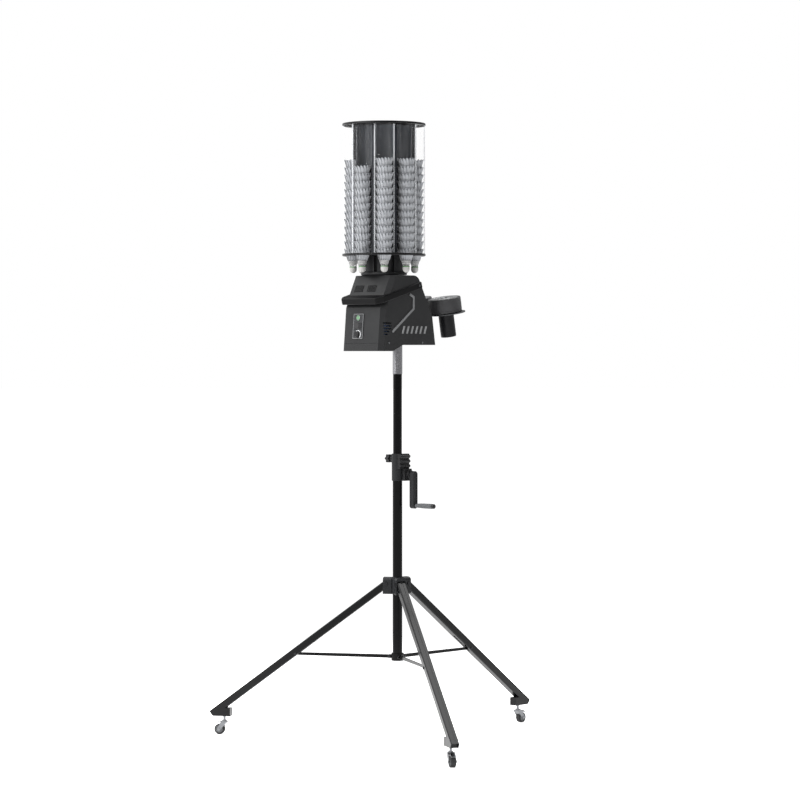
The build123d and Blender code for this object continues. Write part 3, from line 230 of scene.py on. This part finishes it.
def feather_material():
    """Goose feather: barbs that slant away from the shaft, a slightly darker root, and painted shade along each
    vane's edge that tucks under its neighbour.
    """
    made = Surface("feather_vane", (0.37, 0.38, 0.4), 0.72, specular=0.15)
    made.set("Sheen Weight", 0.1)
    made.mottle(60, 0.1)
    uv = made.add("ShaderNodeUVMap", uv_map="barbs").outputs["UV"]
    wave = made.add("ShaderNodeTexWave", wave_type="BANDS", bands_direction="Y")
    wave.inputs["Scale"].default_value = 9.0
    wave.inputs["Distortion"].default_value = 1.6
    wave.inputs["Detail"].default_value = 2.0
    wave.inputs["Detail Scale"].default_value = 3.0
    made.link(uv, wave.inputs["Vector"])
    made.over(made.ranged(wave.outputs["Fac"], 0.0, 0.35), (0.16, 0.168, 0.185))
    split = made.add("ShaderNodeSeparateXYZ")
    made.link(uv, split.inputs[0])
    made.over(made.ranged(split.outputs["Y"], 0.7, 0.0, 0.25, 0.95), (0.1, 0.106, 0.12))
    # Painted shade: the vane's edge that tucks under the next feather is darkened, drawing a dark streak between
    # feathers.
    made.over(made.ranged(split.outputs["X"], 0.75, 0.0, 0.33, 0.56), (0.045, 0.05, 0.055))
    made.bump(wave.outputs["Fac"], 0.00012)
    return made.material


def cork_material():
    made = Surface("cork_kid_leather", (0.37, 0.365, 0.355), 0.55, specular=0.3).mottle(120, 0.1)
    pores = made.add("ShaderNodeTexVoronoi")
    pores.inputs["Scale"].default_value = 900
    made.link(made.place, pores.inputs["Vector"])
    made.over(made.ranged(pores.outputs["Distance"], 0.3, 0.0, 0.0, 0.35), (0.36, 0.34, 0.3))
    made.bump(pores.outputs["Distance"], 0.00008)
    return made.material


def glow(name, colour, strength):
    made = Surface(name, colour, 0.3).mottle(400, 0.2)
    made.set("Emission Color", (*colour, 1))
    made.set("Emission Strength", strength)
    return made.grain(900, 0.00002).material


def knurled_rubber():
    made = Surface("drum_rubber", (0.028, 0.028, 0.03), 0.52, specular=0.4).mottle(20, 0.22)
    made.uneven(90, 0.1, (1, 1, 0.2)).edges(0.0008, (0.09, 0.09, 0.095), 0.6)
    made.scratches((0.4, 0.4, 9), (0.06, 0.06, 0.065), 0.4)
    return made.grain(1400, 0.00008).material


LEG_WORN = (0.2, 0.205, 0.215)
look = {
    "stand_black": paint("stand_paint", (0.0015, 0.0015, 0.0017), 0.13, 0.0, (0.02, 0.02, 0.021), 0.12),
    "leg_black": paint("leg_paint", (0.003, 0.0031, 0.0034), 0.16, 0.0, LEG_WORN, 0.16),
    "cast_grey": paint("cast_paint", (0.012, 0.0125, 0.0135), 0.38, 0.0, LEG_WORN, 0.14),
    "zinc_steel": metal("zinc_steel", (0.17, 0.174, 0.182), 0.3),
    "pin_black": metal("blackened_pin", (0.03, 0.03, 0.032), 0.4, (1, 1, 1)),
    "post_silver": metal("anodised_post", (0.26, 0.26, 0.272), 0.28),
    "rack_steel": metal("rack_steel", (0.35, 0.35, 0.36), 0.36),
    "winch_black": plastic("winch_plastic", (0.008, 0.008, 0.0088), 0.45),
    "grip_grey": plastic("grip_plastic", (0.075, 0.078, 0.082), 0.5, 1100, 0.00006),
    "caster_grey": plastic("caster_hub", (0.16, 0.165, 0.17), 0.45),
    "tyre_black": plastic("tyre_rubber", (0.02, 0.02, 0.021), 0.62, 1300, 0.0001),
    "shell_grey": plastic("shell_plastic", (0.0145, 0.0148, 0.0155), 0.5),
    "rim_black": paint("rim_plastic", (0.0015, 0.0015, 0.0018), 0.36, 0.0, (0.02, 0.02, 0.021), 0.15),
    "panel_grey": plastic("panel_plastic", (0.03, 0.031, 0.033), 0.45),
    "button_cap": metal("button_cap", (0.2, 0.21, 0.21), 0.32, (1, 1, 1)),
    "switch_black": plastic("switch_plastic", (0.014, 0.014, 0.015), 0.3, 1800, 0.00003),
    "drum_rubber": knurled_rubber(),
    "hub_alloy": metal("turned_alloy", (0.2, 0.203, 0.207), 0.5, (1, 1, 1)),
    "motor_black": paint("motor_paint", (0.007, 0.007, 0.008), 0.34, 0.0, (0.06, 0.06, 0.062), 0.2),
    "bracket_steel": paint("bracket_paint", (0.05, 0.052, 0.055), 0.4, 0.1),
    "core_black": plastic("core_plastic", (0.016, 0.018, 0.022), 0.35, 1700, 0.00003),
    "plate_black": plastic("plate_plastic", (0.0025, 0.0025, 0.003), 0.4, 1700, 0.00002, (0.03, 0.03, 0.032)),
    "tube_clear": clear_tube(),
    "feather_white": feather_material(),
    "cork": cork_material(),
    "ribbon": plastic("band_ribbon", (0.03, 0.17, 0.03), 0.4, 1500, 0.00003, (0.08, 0.24, 0.07)),
    "quill": plastic("quill", (0.4, 0.4, 0.4), 0.5, 1500, 0.00002, (0.5, 0.5, 0.49)),
    "gear_white": plastic("acetal", (0.66, 0.65, 0.6), 0.45, 1500, 0.00003, (0.75, 0.74, 0.7)),
    "battery_blue": plastic("battery_wrap", (0.05, 0.09, 0.2), 0.35),
    "board_green": plastic("board_laminate", (0.03, 0.18, 0.07), 0.4),
    "button_green": glow("green_light", (0.06, 0.5, 0.08), 0.25),
    "mark_grey": plastic("printed_grey", (0.2, 0.202, 0.206), 0.5, 900, 0.00002, (0.26, 0.26, 0.26)),
    # Painted highlight: the light grey drawn along the side ridge
    "ridge_painted_highlight": plastic("ridge_highlight_grey", (0.14, 0.142, 0.146), 0.45, 900, 0.00002, (0.14, 0.14, 0.145)),
    "mark_white": plastic("white_marks_and_painted_highlight", (0.7, 0.71, 0.72), 0.5, 900, 0.00002, (0.8, 0.8, 0.8)),
}

# Every CAD node takes its slot's look; some share a slot but are finished differently
slot_of = {part["node"]: part["material_slot"] for part in frame["record"]["subparts"]}
special = {f"leg_{side}": "leg_black" for side in ("front", "left", "right")}
special["power_button"] = "button_cap"
for name in ("collar_pins", "hub_pins", "leg_rivets_front", "leg_rivets_left", "leg_rivets_right"):
    special[name] = "pin_black"
for name, piece in nodes.items():
    piece.data.materials.clear()
    piece.data.materials.append(look[special.get(name, slot_of[name])])


# ---------------------------------------------------------------- mesh helpers


class Build:
    """Collects rings, grids and lathed shapes into one mesh, in millimetres."""

    def __init__(self):
        self.points = []
        self.faces = []
        self.slots = []
        self.barbs = []

    def point(self, place, barb=(0.0, 0.0)):
        self.points.append(tuple(place))
        self.barbs.append(barb)
        return len(self.points) - 1

    def face(self, corners, slot=0):
        self.faces.append(tuple(corners))
        self.slots.append(slot)

    def grid(self, rows, slot=0, closed=False):
        """Faces between rows of point numbers; closed joins each row's ends."""
        for low, high in zip(rows, rows[1:]):
            count = len(low)
            for i in range(count if closed else count - 1):
                j = (i + 1) % count
                self.face((low[i], low[j], high[j], high[i]), slot)

    def lathe(self, profile, count, slot=0, base=Vector((0, 0, 0)), loop=False):
        """Turn (radius, height) pairs about Z. An end with no radius closes to a point."""
        rows = []
        for radius, height in profile:
            if radius < 1e-6:
                rows.append([self.point(base + Vector((0, 0, height)))])
                continue
            ring = []
            for i in range(count):
                turn = 2 * pi * i / count
                place = Vector((radius * cos(turn), radius * sin(turn), height))
                ring.append(self.point(base + place))
            rows.append(ring)
        if loop:
            rows.append(rows[0])
        for low, high in zip(rows, rows[1:]):
            if len(low) == 1 and len(high) == 1:
                continue
            if len(low) == 1:
                for i in range(count):
                    self.face((low[0], high[(i + 1) % count], high[i]), slot)
            elif len(high) == 1:
                for i in range(count):
                    self.face((low[i], low[(i + 1) % count], high[0]), slot)
            else:
                self.grid([low, high], slot, closed=True)

    def mesh(self, name, looks, angle=35):
        mesh = bpy.data.meshes.new(name)
        mesh.from_pydata([[c * MM for c in p] for p in self.points], [], self.faces)
        for key in looks:
            mesh.materials.append(look[key])
        mesh.polygons.foreach_set("material_index", self.slots)
        layer = mesh.uv_layers.new(name="barbs")
        for loop in mesh.loops:
            layer.data[loop.index].uv = self.barbs[loop.vertex_index]
        shaped = bmesh.new()
        shaped.from_mesh(mesh)
        bmesh.ops.recalc_face_normals(shaped, faces=shaped.faces)
        shaped.to_mesh(mesh)
        shaped.free()
        mesh.shade_smooth()
        mesh.set_sharp_from_angle(angle=radians(angle))
        return mesh


def show(name, mesh, body, matrix=Matrix.Identity(4)):
    """Put a mesh in the scene, riding on its CAD body."""
    piece = bpy.data.objects.new(name, mesh)
    scene.collection.objects.link(piece)
    piece.matrix_world = matrix
    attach(piece, body)
    return piece


def facing(origin, x_axis, z_axis):
    """A matrix whose origin is in millimetres and whose axes are x_axis and z_axis."""
    z = Vector(z_axis).normalized()
    x = Vector(x_axis)
    x = (x - z * x.dot(z)).normalized()
    y = z.cross(x)
    turned = Matrix((x, y, z)).transposed().to_4x4()
    return Matrix.Translation(Vector(origin) * MM) @ turned


def joint(name):
    return next(j for j in frame["joints"] if j["name"] == name)


# ---------------------------------------------------------------- shuttlecocks

CORK_R, CORK_TOP = 12.9, 24.0
SHUTTLE_TOP, SKIRT_R = 88.0, 32.0
FEATHERS = 16
NEST = 26.6


def cone_radius(height):
    return 10.6 + (SKIRT_R - 10.6) * (height - CORK_TOP) / (SHUTTLE_TOP - CORK_TOP)


def vane_half_width(t):
    """Half the vane's width, from its root at 0 to its pointed tip at 1."""
    body = 5.2 + 3.6 * min(1.0, t / 0.55)
    if t > 0.75:
        body *= max(0.0, (1 - t) / 0.25) ** 0.7
    return max(body, 0.15) * (1 if t > 0.04 else 0.5)


def feather(build, base, turn, chance):
    """One feather: a thin curved vane, twisted to overlap its neighbour, and its quill."""
    root, tip = 45.0, SHUTTLE_TOP + chance.uniform(-0.9, 0.0)
    lean = chance.uniform(-0.01, 0.01)
    columns, rows = 5, 9
    skins = []
    for offset in (0.13, -0.13):
        skin = []
        for row in range(rows):
            t = row / (rows - 1)
            t = 1 - (1 - t) ** 1.25
            height = root + (tip - root) * t
            half = vane_half_width(t)
            line = []
            for column in range(columns):
                across = 2 * column / (columns - 1) - 1
                slope = -2.6 * abs(across) * (1 - 0.7 * t)
                radius = cone_radius(height) + 1.15 * across + offset
                angle = turn + lean * t + across * half / radius
                place = (radius * cos(angle), radius * sin(angle), base + height + slope)
                line.append(build.point(place, (across * 0.5 + 0.5, t * 4 + abs(across) * 0.9)))
            skin.append(line)
        build.grid(skin, 0)
        skins.append(skin)
    outer, inner = skins
    border = []
    for skin in (outer, inner):
        left = [line[0] for line in skin]
        right = [line[-1] for line in skin]
        border.append(skin[0] + right[1:] + skin[-1][-2::-1] + left[-2:0:-1])
    build.grid(border, 0, closed=True)
    # Quill from inside the cork to near the tip
    stations = [(20.0, 0.95), (44.0, 0.85), (66.0, 0.6), (84.0, 0.3)]
    rings = []
    for height, thick in stations:
        radius = cone_radius(height) - 0.15
        angle = turn + lean * max(0.0, (height - root) / (tip - root))
        out = Vector((cos(angle), sin(angle), 0))
        side = Vector((-sin(angle), cos(angle), 0))
        centre = out * radius + Vector((0, 0, base + height))
        corners = [out, side, -out, -side]
        rings.append([build.point(centre + corner * thick) for corner in corners])
    build.grid(rings, 1, closed=True)
    build.face(rings[-1], 1)
    build.face(rings[0], 1)


def shuttlecock(build, base, turn, chance):
    """Cork, coloured band, sixteen feathers and the two thread bindings."""
    dome = []
    for step in range(7):
        roll = pi / 2 * step / 6
        dome.append((CORK_R * sin(roll), base + CORK_R * (1 - cos(roll))))
    dome += [(CORK_R, base + 20.4), (CORK_R, base + 23.2), (CORK_R - 0.8, base + CORK_TOP)]
    dome.append((0, base + CORK_TOP))
    build.lathe(dome, 28, 2)
    band = [(CORK_R - 0.1, 20.2), (CORK_R + 0.2, 20.4), (CORK_R + 0.2, 23.0), (CORK_R - 0.1, 23.2)]
    build.lathe([(r, base + h) for r, h in band], 28, 3, loop=True)
    for height in (33.0, 40.0):
        radius = cone_radius(height)
        ring = [(radius - 1.1, 0.0), (radius, -0.8), (radius + 1.0, 0.0), (radius, 0.8)]
        build.lathe([(r, base + height + h) for r, h in ring], 24, 4, loop=True)
    for number in range(FEATHERS):
        feather(build, base, turn + 2 * pi * number / FEATHERS, chance)


def shuttle_stack(name, count, seed):
    chance = Random(seed)
    build = Build()
    for number in range(count):
        shuttlecock(build, number * NEST, chance.uniform(0, 2 * pi), chance)
    return build.mesh(name, ["feather_white", "quill", "cork", "ribbon", "mark_white"], 50)


stack_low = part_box("shuttle_stacks")[0]
carousel = Vector(joint("carousel_turn")["pos_m"])
tube_low, tube_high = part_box("magazine_tubes")
pitch_radius = (tube_high.y - tube_low.y) / 2 - 0.037
full = [shuttle_stack(f"full_stack_{kind}", 13, 11 + kind) for kind in range(3)]
short = shuttle_stack("short_stack", 12, 29)
for number in range(8):
    angle = number * pi / 4
    place = Vector((carousel.x + pitch_radius * cos(angle), pitch_radius * sin(angle), stack_low.z))
    mesh = short if number == 4 else full[number % 3]
    turned = Matrix.Translation(place) @ Matrix.Rotation(number * 0.37, 4, "Z")
    stack = show(f"shuttle_stack_{number + 1}", mesh, "carousel", turned)
    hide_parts("shuttle_stacks")


# ---------------------------------------------------------------- launch wheels


def ring_of(build, radius, count, draw):
    for number in range(count):
        turn = 2 * pi * number / count
        draw(Vector((radius * cos(turn), radius * sin(turn), 0)), turn)


def hexagon(build, centre, across, low, high, slot, turn=0.0):
    """A hexagonal head with a chamfered top."""
    rows = []
    for radius, height in ((across, low), (across, high - 0.6), (across - 0.7, high)):
        row = []
        for corner in range(6):
            angle = turn + corner * pi / 3
            row.append(build.point(centre + Vector((radius * cos(angle), radius * sin(angle), height))))
        rows.append(row)
    build.grid(rows, slot, closed=True)
    build.face(rows[-1], slot)
    build.face(rows[0], slot)


def wheel_tread():
    """The rubber drum face, slightly crowned, with two shallow witness grooves."""
    build = Build()
    outer = [(50.3, -27.0), (57.6, -27.0), (59.4, -25.6), (59.7, -23.5), (59.7, -20.4)]
    outer += [(59.35, -20.1), (59.35, -19.3), (59.8, -19.0), (60.0, -6.0), (60.0, 6.0)]
    outer += [(59.8, 19.0), (59.35, 19.3), (59.35, 20.1), (59.7, 20.4), (59.7, 23.5)]
    outer += [(59.4, 25.6), (57.6, 27.0), (50.3, 27.0), (50.3, 0.0)]
    build.lathe(outer, 128, 0, loop=True)
    return build.mesh("wheel_tread", ["drum_rubber"], 30)


def wheel_hub():
    """The turned alloy drum: a dished face, its recessed boss, nut and face screws."""
    build = Build()
    profile = [(4.2, -23.0), (15.0, -23.0), (15.0, 16.5), (50.2, 16.5), (50.2, 26.7)]
    profile += [(49.8, 27.0), (48.4, 27.0), (47.6, 26.0), (46.4, 25.0), (24.4, 25.0)]
    profile += [(23.2, 26.4), (22.4, 26.8), (16.8, 26.8), (15.9, 26.0), (14.4, 19.2), (4.2, 19.2)]
    build.lathe(profile, 96, 0, loop=True)
    hexagon(build, Vector((0, 0, 0)), 7.4, 19.2, 24.2, 1)
    build.lathe([(0, 19.2), (3.1, 19.2), (3.1, 25.4), (2.4, 26.0), (0, 26.0)], 20, 1)

    def screw(centre, turn):
        head = [(0, 24.6), (3.4, 24.6), (3.4, 26.6), (3.0, 26.95), (1.7, 26.95), (1.7, 25.6), (0, 25.6)]
        build.lathe(head, 18, 1, centre)

    ring_of(build, 36.0, 6, screw)
    return build.mesh("wheel_hub", ["hub_alloy", "rack_steel"], 30)


tread, hub = wheel_tread(), wheel_hub()
for side in ("left", "right"):
    spin = joint(f"launch_wheel_{side}_spin")
    centre = Vector(spin["pos_m"]) / MM
    matrix = facing(centre, (1, 0, 0), spin["axis"])
    body = f"launch_wheel_{side}"
    rubber = show(f"wheel_tread_{side}", tread, body, matrix)
    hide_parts(f"launch_wheel_{side}")
    alloy = show(f"wheel_hub_{side}", hub, body, matrix)
    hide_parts(f"launch_wheel_{side}")


# ---------------------------------------------------------------- crank grip

grip_low, grip_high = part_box("crank_grip")
grip_joint = joint("crank_grip_spin")
grip_length = (grip_high.y - grip_low.y) / MM


def grip_sleeve():
    """The moulded sleeve, with fine rings for the hand."""
    build = Build()
    profile = [(4.2, 0.0), (6.0, 0.0), (6.6, 1.2)]
    height = 4.0
    while height < grip_length - 13:
        swell = 6.9 + 2.3 * sin(min(1.0, height / 46) * pi / 2)
        profile += [(swell, height), (swell, height + 2.2), (swell - 0.35, height + 2.6)]
        profile.append((swell - 0.35, height + 3.2))
        height += 3.6
    profile += [(9.0, grip_length - 11), (8.6, grip_length - 10.2), (4.2, grip_length - 10.2)]
    build.lathe(profile, 48, 0, loop=True)
    return build.mesh("grip_sleeve", ["grip_grey"], 30)


def grip_cap():
    build = Build()
    end = grip_length
    profile = [(4.2, end - 10.0), (8.7, end - 10.0), (8.9, end - 9.0), (8.7, end - 2.6)]
    profile += [(7.9, end - 0.8), (6.2, end), (2.6, end), (2.2, end - 0.7), (0, end - 0.7)]
    profile += [(0, end - 5.0), (4.2, end - 5.0)]
    build.lathe(profile, 48, 0)
    return build.mesh("grip_cap", ["switch_black"], 30)


grip_start = Vector((grip_joint["pos_m"][0], grip_high.y, grip_joint["pos_m"][2])) / MM
grip_matrix = facing(grip_start, (1, 0, 0), (0, -1, 0))
sleeve = show("grip_sleeve", grip_sleeve(), "crank_grip", grip_matrix)
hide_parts("crank_grip")
cap = show("grip_cap", grip_cap(), "crank_grip", grip_matrix)
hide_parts("crank_grip")


# ---------------------------------------------------------------- control panel

dial = joint("speed_dial_turn")
panel_out = Vector(dial["axis"])
panel_right = Vector((0, -1, 0))
panel_up = panel_out.cross(panel_right)


def flat_shape(build, outline, low, high, slot=0):
    """A thin plate with the outline given as (x, y) points."""
    rows = []
    for height in (low, high):
        rows.append([build.point((x, y, height)) for x, y in outline])
    build.grid(rows, slot, closed=True)
    build.face(rows[0][::-1], slot)
    build.face(rows[1], slot)


def arc_band(build, radius, widths, start, end, low, high, slot=0, steps=28):
    """A curved band whose width runs from widths[0] to widths[1]."""
    outer, inner = [], []
    for step in range(steps + 1):
        t = step / steps
        angle = start + (end - start) * t
        half = (widths[0] + (widths[1] - widths[0]) * t) / 2
        outer.append(((radius + half) * cos(angle), (radius + half) * sin(angle)))
        inner.append(((radius - half) * cos(angle), (radius - half) * sin(angle)))
    rows = []
    for height in (low, high):
        rows.append([build.point((x, y, height)) for x, y in outer])
        rows.append([build.point((x, y, height)) for x, y in inner])
    low_outer, low_inner, high_outer, high_inner = rows
    build.grid([low_outer, high_outer], slot)
    build.grid([high_outer, high_inner], slot)
    build.grid([high_inner, low_inner], slot)
    build.grid([low_inner, low_outer], slot)
    for i in (0, -1):
        build.face((low_outer[i], high_outer[i], high_inner[i], low_inner[i]), slot)


dial_at = Vector(dial["pos_m"])
button_face = dial_at + panel_up * 0.059 + panel_out * 0.0047

build = Build()
arc_band(build, 7.2, (0.5, 0.5), 0, 2 * pi - 0.0001, 0.0, 0.25, 0, 48)
arc_band(build, 3.2, (0.8, 0.8), radians(130), radians(410), 0.0, 0.25, 0)
flat_shape(build, [(-0.4, 1.4), (0.4, 1.4), (0.4, 4.4), (-0.4, 4.4)], 0.0, 0.25)
matrix = facing(button_face / MM, panel_right, panel_out)
show("button_light", build.mesh("button_light", ["button_green"]), "power_button", matrix)

build = Build()
# Painted highlight: the white arc that widens round the dial stands in for a crescent highlight round the knob;
# the six ticks are printed marks.
arc_band(build, 14.2, (0.5, 3.4), radians(225), radians(-45), 0.0, 0.2, 0)
for tick in range(6):
    angle = radians(225 - 54 * tick)
    near, far, half = 12.2, 12.9, 0.25
    across = Vector((-sin(angle), cos(angle)))
    along = Vector((cos(angle), sin(angle)))
    corners = [along * near - across * half, along * far - across * half]
    corners += [along * far + across * half, along * near + across * half]
    flat_shape(build, [tuple(c) for c in corners], 0.0, 0.2)
matrix = facing((dial_at + panel_out * 0.0025) / MM, panel_right, panel_out)
show("dial_ticks_and_painted_highlight", build.mesh("dial_ticks_and_painted_highlight", ["mark_white"]), "head", matrix)


# Light line round the panel's edge
panel_low, panel_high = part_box("control_panel")
panel_centre = (panel_low + panel_high) / 2 - dial_at
middle = (panel_centre.dot(panel_right) / MM, panel_centre.dot(panel_up) / MM)
half_w = (panel_high.y - panel_low.y) / 2 / MM - 0.6
half_h = (panel_high.z - panel_low.z) / 2 / MM - 1.2
build = Build()
for left, right, low, high in (
    (-half_w, half_w, half_h - 1.6, half_h),
    (-half_w, half_w, -half_h, 1.6 - half_h),
    (-half_w, 1.6 - half_w, 1.6 - half_h, half_h - 1.6),
    (half_w - 1.6, half_w, 1.6 - half_h, half_h - 1.6),
):
    corners = [(left, low), (right, low), (right, high), (left, high)]
    flat_shape(build, [(x + middle[0], y + middle[1]) for x, y in corners], 0.0, 0.2)
show("panel_outline", build.mesh("panel_outline", ["mark_grey"]), "head", matrix)


# ---------------------------------------------------------------- side stripes

SIDE_Y = 100.0
STRIPES = 6
STRIPE_LEFT, STRIPE_PITCH, STRIPE_WIDTH = -82.0, 22.5, 9.0
STRIPE_LOW, STRIPE_HIGH = 1462.5, 1489.0
for side, name in ((-1, "right"), (1, "left")):
    build = Build()
    for stripe in range(STRIPES):
        left = STRIPE_LEFT + STRIPE_PITCH * stripe
        right = left + STRIPE_WIDTH
        outline = [
            (left, STRIPE_LOW),
            (right, STRIPE_LOW),
            (right + STRIPE_WIDTH, STRIPE_HIGH),
            (left + STRIPE_WIDTH, STRIPE_HIGH),
        ]
        rows = []
        for depth in (0.0, 0.5):
            y = side * (SIDE_Y - 0.02 + depth)
            rows.append([build.point((x, y, z)) for x, z in outline])
        build.grid(rows, 0, closed=True)
        build.face(rows[0])
        build.face(rows[1])
    show(f"side_stripes_{name}", build.mesh("side_stripes", ["mark_grey"]), "head")


# ---------------------------------------------------------------- ridge highlight strips (painted highlight)

# The ridge's middle line, as (x, z), and half the width of its light-grey strip, a painted highlight
RIDGE = [(-41, 1602), (-22, 1593), (-22, 1551), (-130, 1468)]
RIDGE_HALF = 4.0
for side, name in ((-1, "right"), (1, "left")):
    build = Build()
    edges = ([], [])
    for number, here in enumerate(RIDGE):
        here = Vector(here)
        normals = []
        for a, b in ((number - 1, number), (number, number + 1)):
            if 0 <= a and b < len(RIDGE):
                along = (Vector(RIDGE[b]) - Vector(RIDGE[a])).normalized()
                normals.append(Vector((-along.y, along.x)))
        across = sum(normals, Vector((0, 0))).normalized()
        across *= RIDGE_HALF / max(across.dot(normals[0]), 0.5)
        edges[0].append(here + across)
        edges[1].append(here - across)
    outline = edges[0] + edges[1][::-1]
    rows = []
    for depth in (0.2, 2.5):
        y = side * (SIDE_Y + depth)
        rows.append([build.point((p.x, y, p.y)) for p in outline])
    build.grid(rows, 0, closed=True)
    for row in rows:
        for i in range(len(RIDGE) - 1):
            build.face((row[i], row[i + 1], row[-i - 2], row[-i - 1]))
    show(f"ridge_highlight_strip_{name}", build.mesh("ridge_highlight_strip", ["ridge_painted_highlight"]), "head")


# ---------------------------------------------------------------- studio


def lobe(tree, direction, start, end, strength):
    """Light from one side of the studio: full at end, none before start."""
    place = tree.nodes.new("ShaderNodeTexCoord")
    dot = tree.nodes.new("ShaderNodeVectorMath")
    dot.operation = "DOT_PRODUCT"
    dot.inputs[1].default_value = Vector(direction).normalized()
    tree.links.new(place.outputs["Generated"], dot.inputs[0])
    ramp = tree.nodes.new("ShaderNodeMapRange")
    ramp.interpolation_type = "SMOOTHSTEP"
    ramp.inputs["From Min"].default_value = start
    ramp.inputs["From Max"].default_value = end
    ramp.inputs["To Max"].default_value = strength
    tree.links.new(dot.outputs["Value"], ramp.inputs["Value"])
    return ramp.outputs["Result"]


VIEW = Vector((0.719, 0.695, 0.0))
LEFT = Vector((-0.695, 0.719, 0.0))

world = bpy.data.worlds.new("studio")
scene.world = world
world.use_nodes = True
tree = world.node_tree
background = tree.nodes["Background"]
total = None
lobes = [
    (LEFT * 0.8 + VIEW * 0.3, 0.35, 0.8, 1.35),
    (-LEFT * 0.9 + VIEW * 0.5, 0.6, 0.95, 0.4),
    (Vector((0, 0, 1)) - VIEW * 0.3 + LEFT * 0.3, 0.45, 0.95, 2.4),
    (Vector((0.38, 0.1, 0.92)), 0.8, 0.97, 4.0),
]
for direction, start, end, strength in lobes:
    part = lobe(tree, direction, start, end, strength)
    if total is None:
        total = part
        continue
    join = tree.nodes.new("ShaderNodeMath")
    join.operation = "ADD"
    tree.links.new(total, join.inputs[0])
    tree.links.new(part, join.inputs[1])
    total = join.outputs[0]
lift = tree.nodes.new("ShaderNodeMath")
lift.operation = "ADD"
lift.inputs[1].default_value = 0.04
tree.links.new(total, lift.inputs[0])
seen = tree.nodes.new("ShaderNodeLightPath")
backdrop = tree.nodes.new("ShaderNodeMix")
backdrop.inputs[3].default_value = 1.0
tree.links.new(seen.outputs["Is Camera Ray"], backdrop.inputs[0])
tree.links.new(lift.outputs[0], backdrop.inputs[2])
tree.links.new(backdrop.outputs[0], background.inputs["Strength"])
background.inputs["Color"].default_value = (1, 1, 1, 1)


def floor_material():
    """A pale floor that gives its own light and brightens into the backdrop further out."""
    made = Surface("studio_floor", (0.9, 0.9, 0.9), 0.9, specular=0.1).mottle(2, 0.01)
    made.set("Emission Color", (1, 1, 1, 1))
    distance = made.add("ShaderNodeVectorMath", operation="LENGTH")
    made.link(made.place, distance.inputs[0])
    far = made.ranged(distance.outputs["Value"], 0.3, 1.1, 0.75, 1.6)
    made.link(far, made.shader.inputs["Emission Strength"])
    near = made.ranged(distance.outputs["Value"], 0.0, 1.0, 0.9, 3.6)
    made.over(near, (0.0, 0.0, 0.0))
    return made.material


build = Build()
build.lathe([(0, 0), (300, 0), (900, 0), (2000, 0), (6000, 0), (90000, 0)], 96)
look["floor"] = floor_material()
floor = bpy.data.objects.new("floor", build.mesh("floor", ["floor"]))
scene.collection.objects.link(floor)
floor.location.z = -0.0005

key = bpy.data.lights.new("key", "AREA")
key.shape = "RECTANGLE"
key.size, key.size_y = 2.6, 3.4
key.energy = 210
key_object = bpy.data.objects.new("key", key)
scene.collection.objects.link(key_object)
key_at = LEFT * 4.2 - VIEW * 2.6 + Vector((0, 0, 3.6))
key_object.location = key_at
key_object.rotation_euler = (Vector((0, 0, 1.3)) - key_at).to_track_quat("-Z", "Y").to_euler()

camera = bpy.data.cameras.new("camera")
camera.lens = 123.8
camera.sensor_width = 36
camera.shift_x = 0.003125
camera.shift_y = -0.0625
camera.clip_end = 300
camera_object = bpy.data.objects.new("camera", camera)
scene.collection.objects.link(camera_object)
camera_object.location = -VIEW * 9.9 + Vector((0, 0, 1.404))
camera_object.rotation_euler = VIEW.to_track_quat("-Z", "Y").to_euler()
scene.camera = camera_object

scene.view_settings.view_transform = "Standard"
scene.view_settings.look = "None"
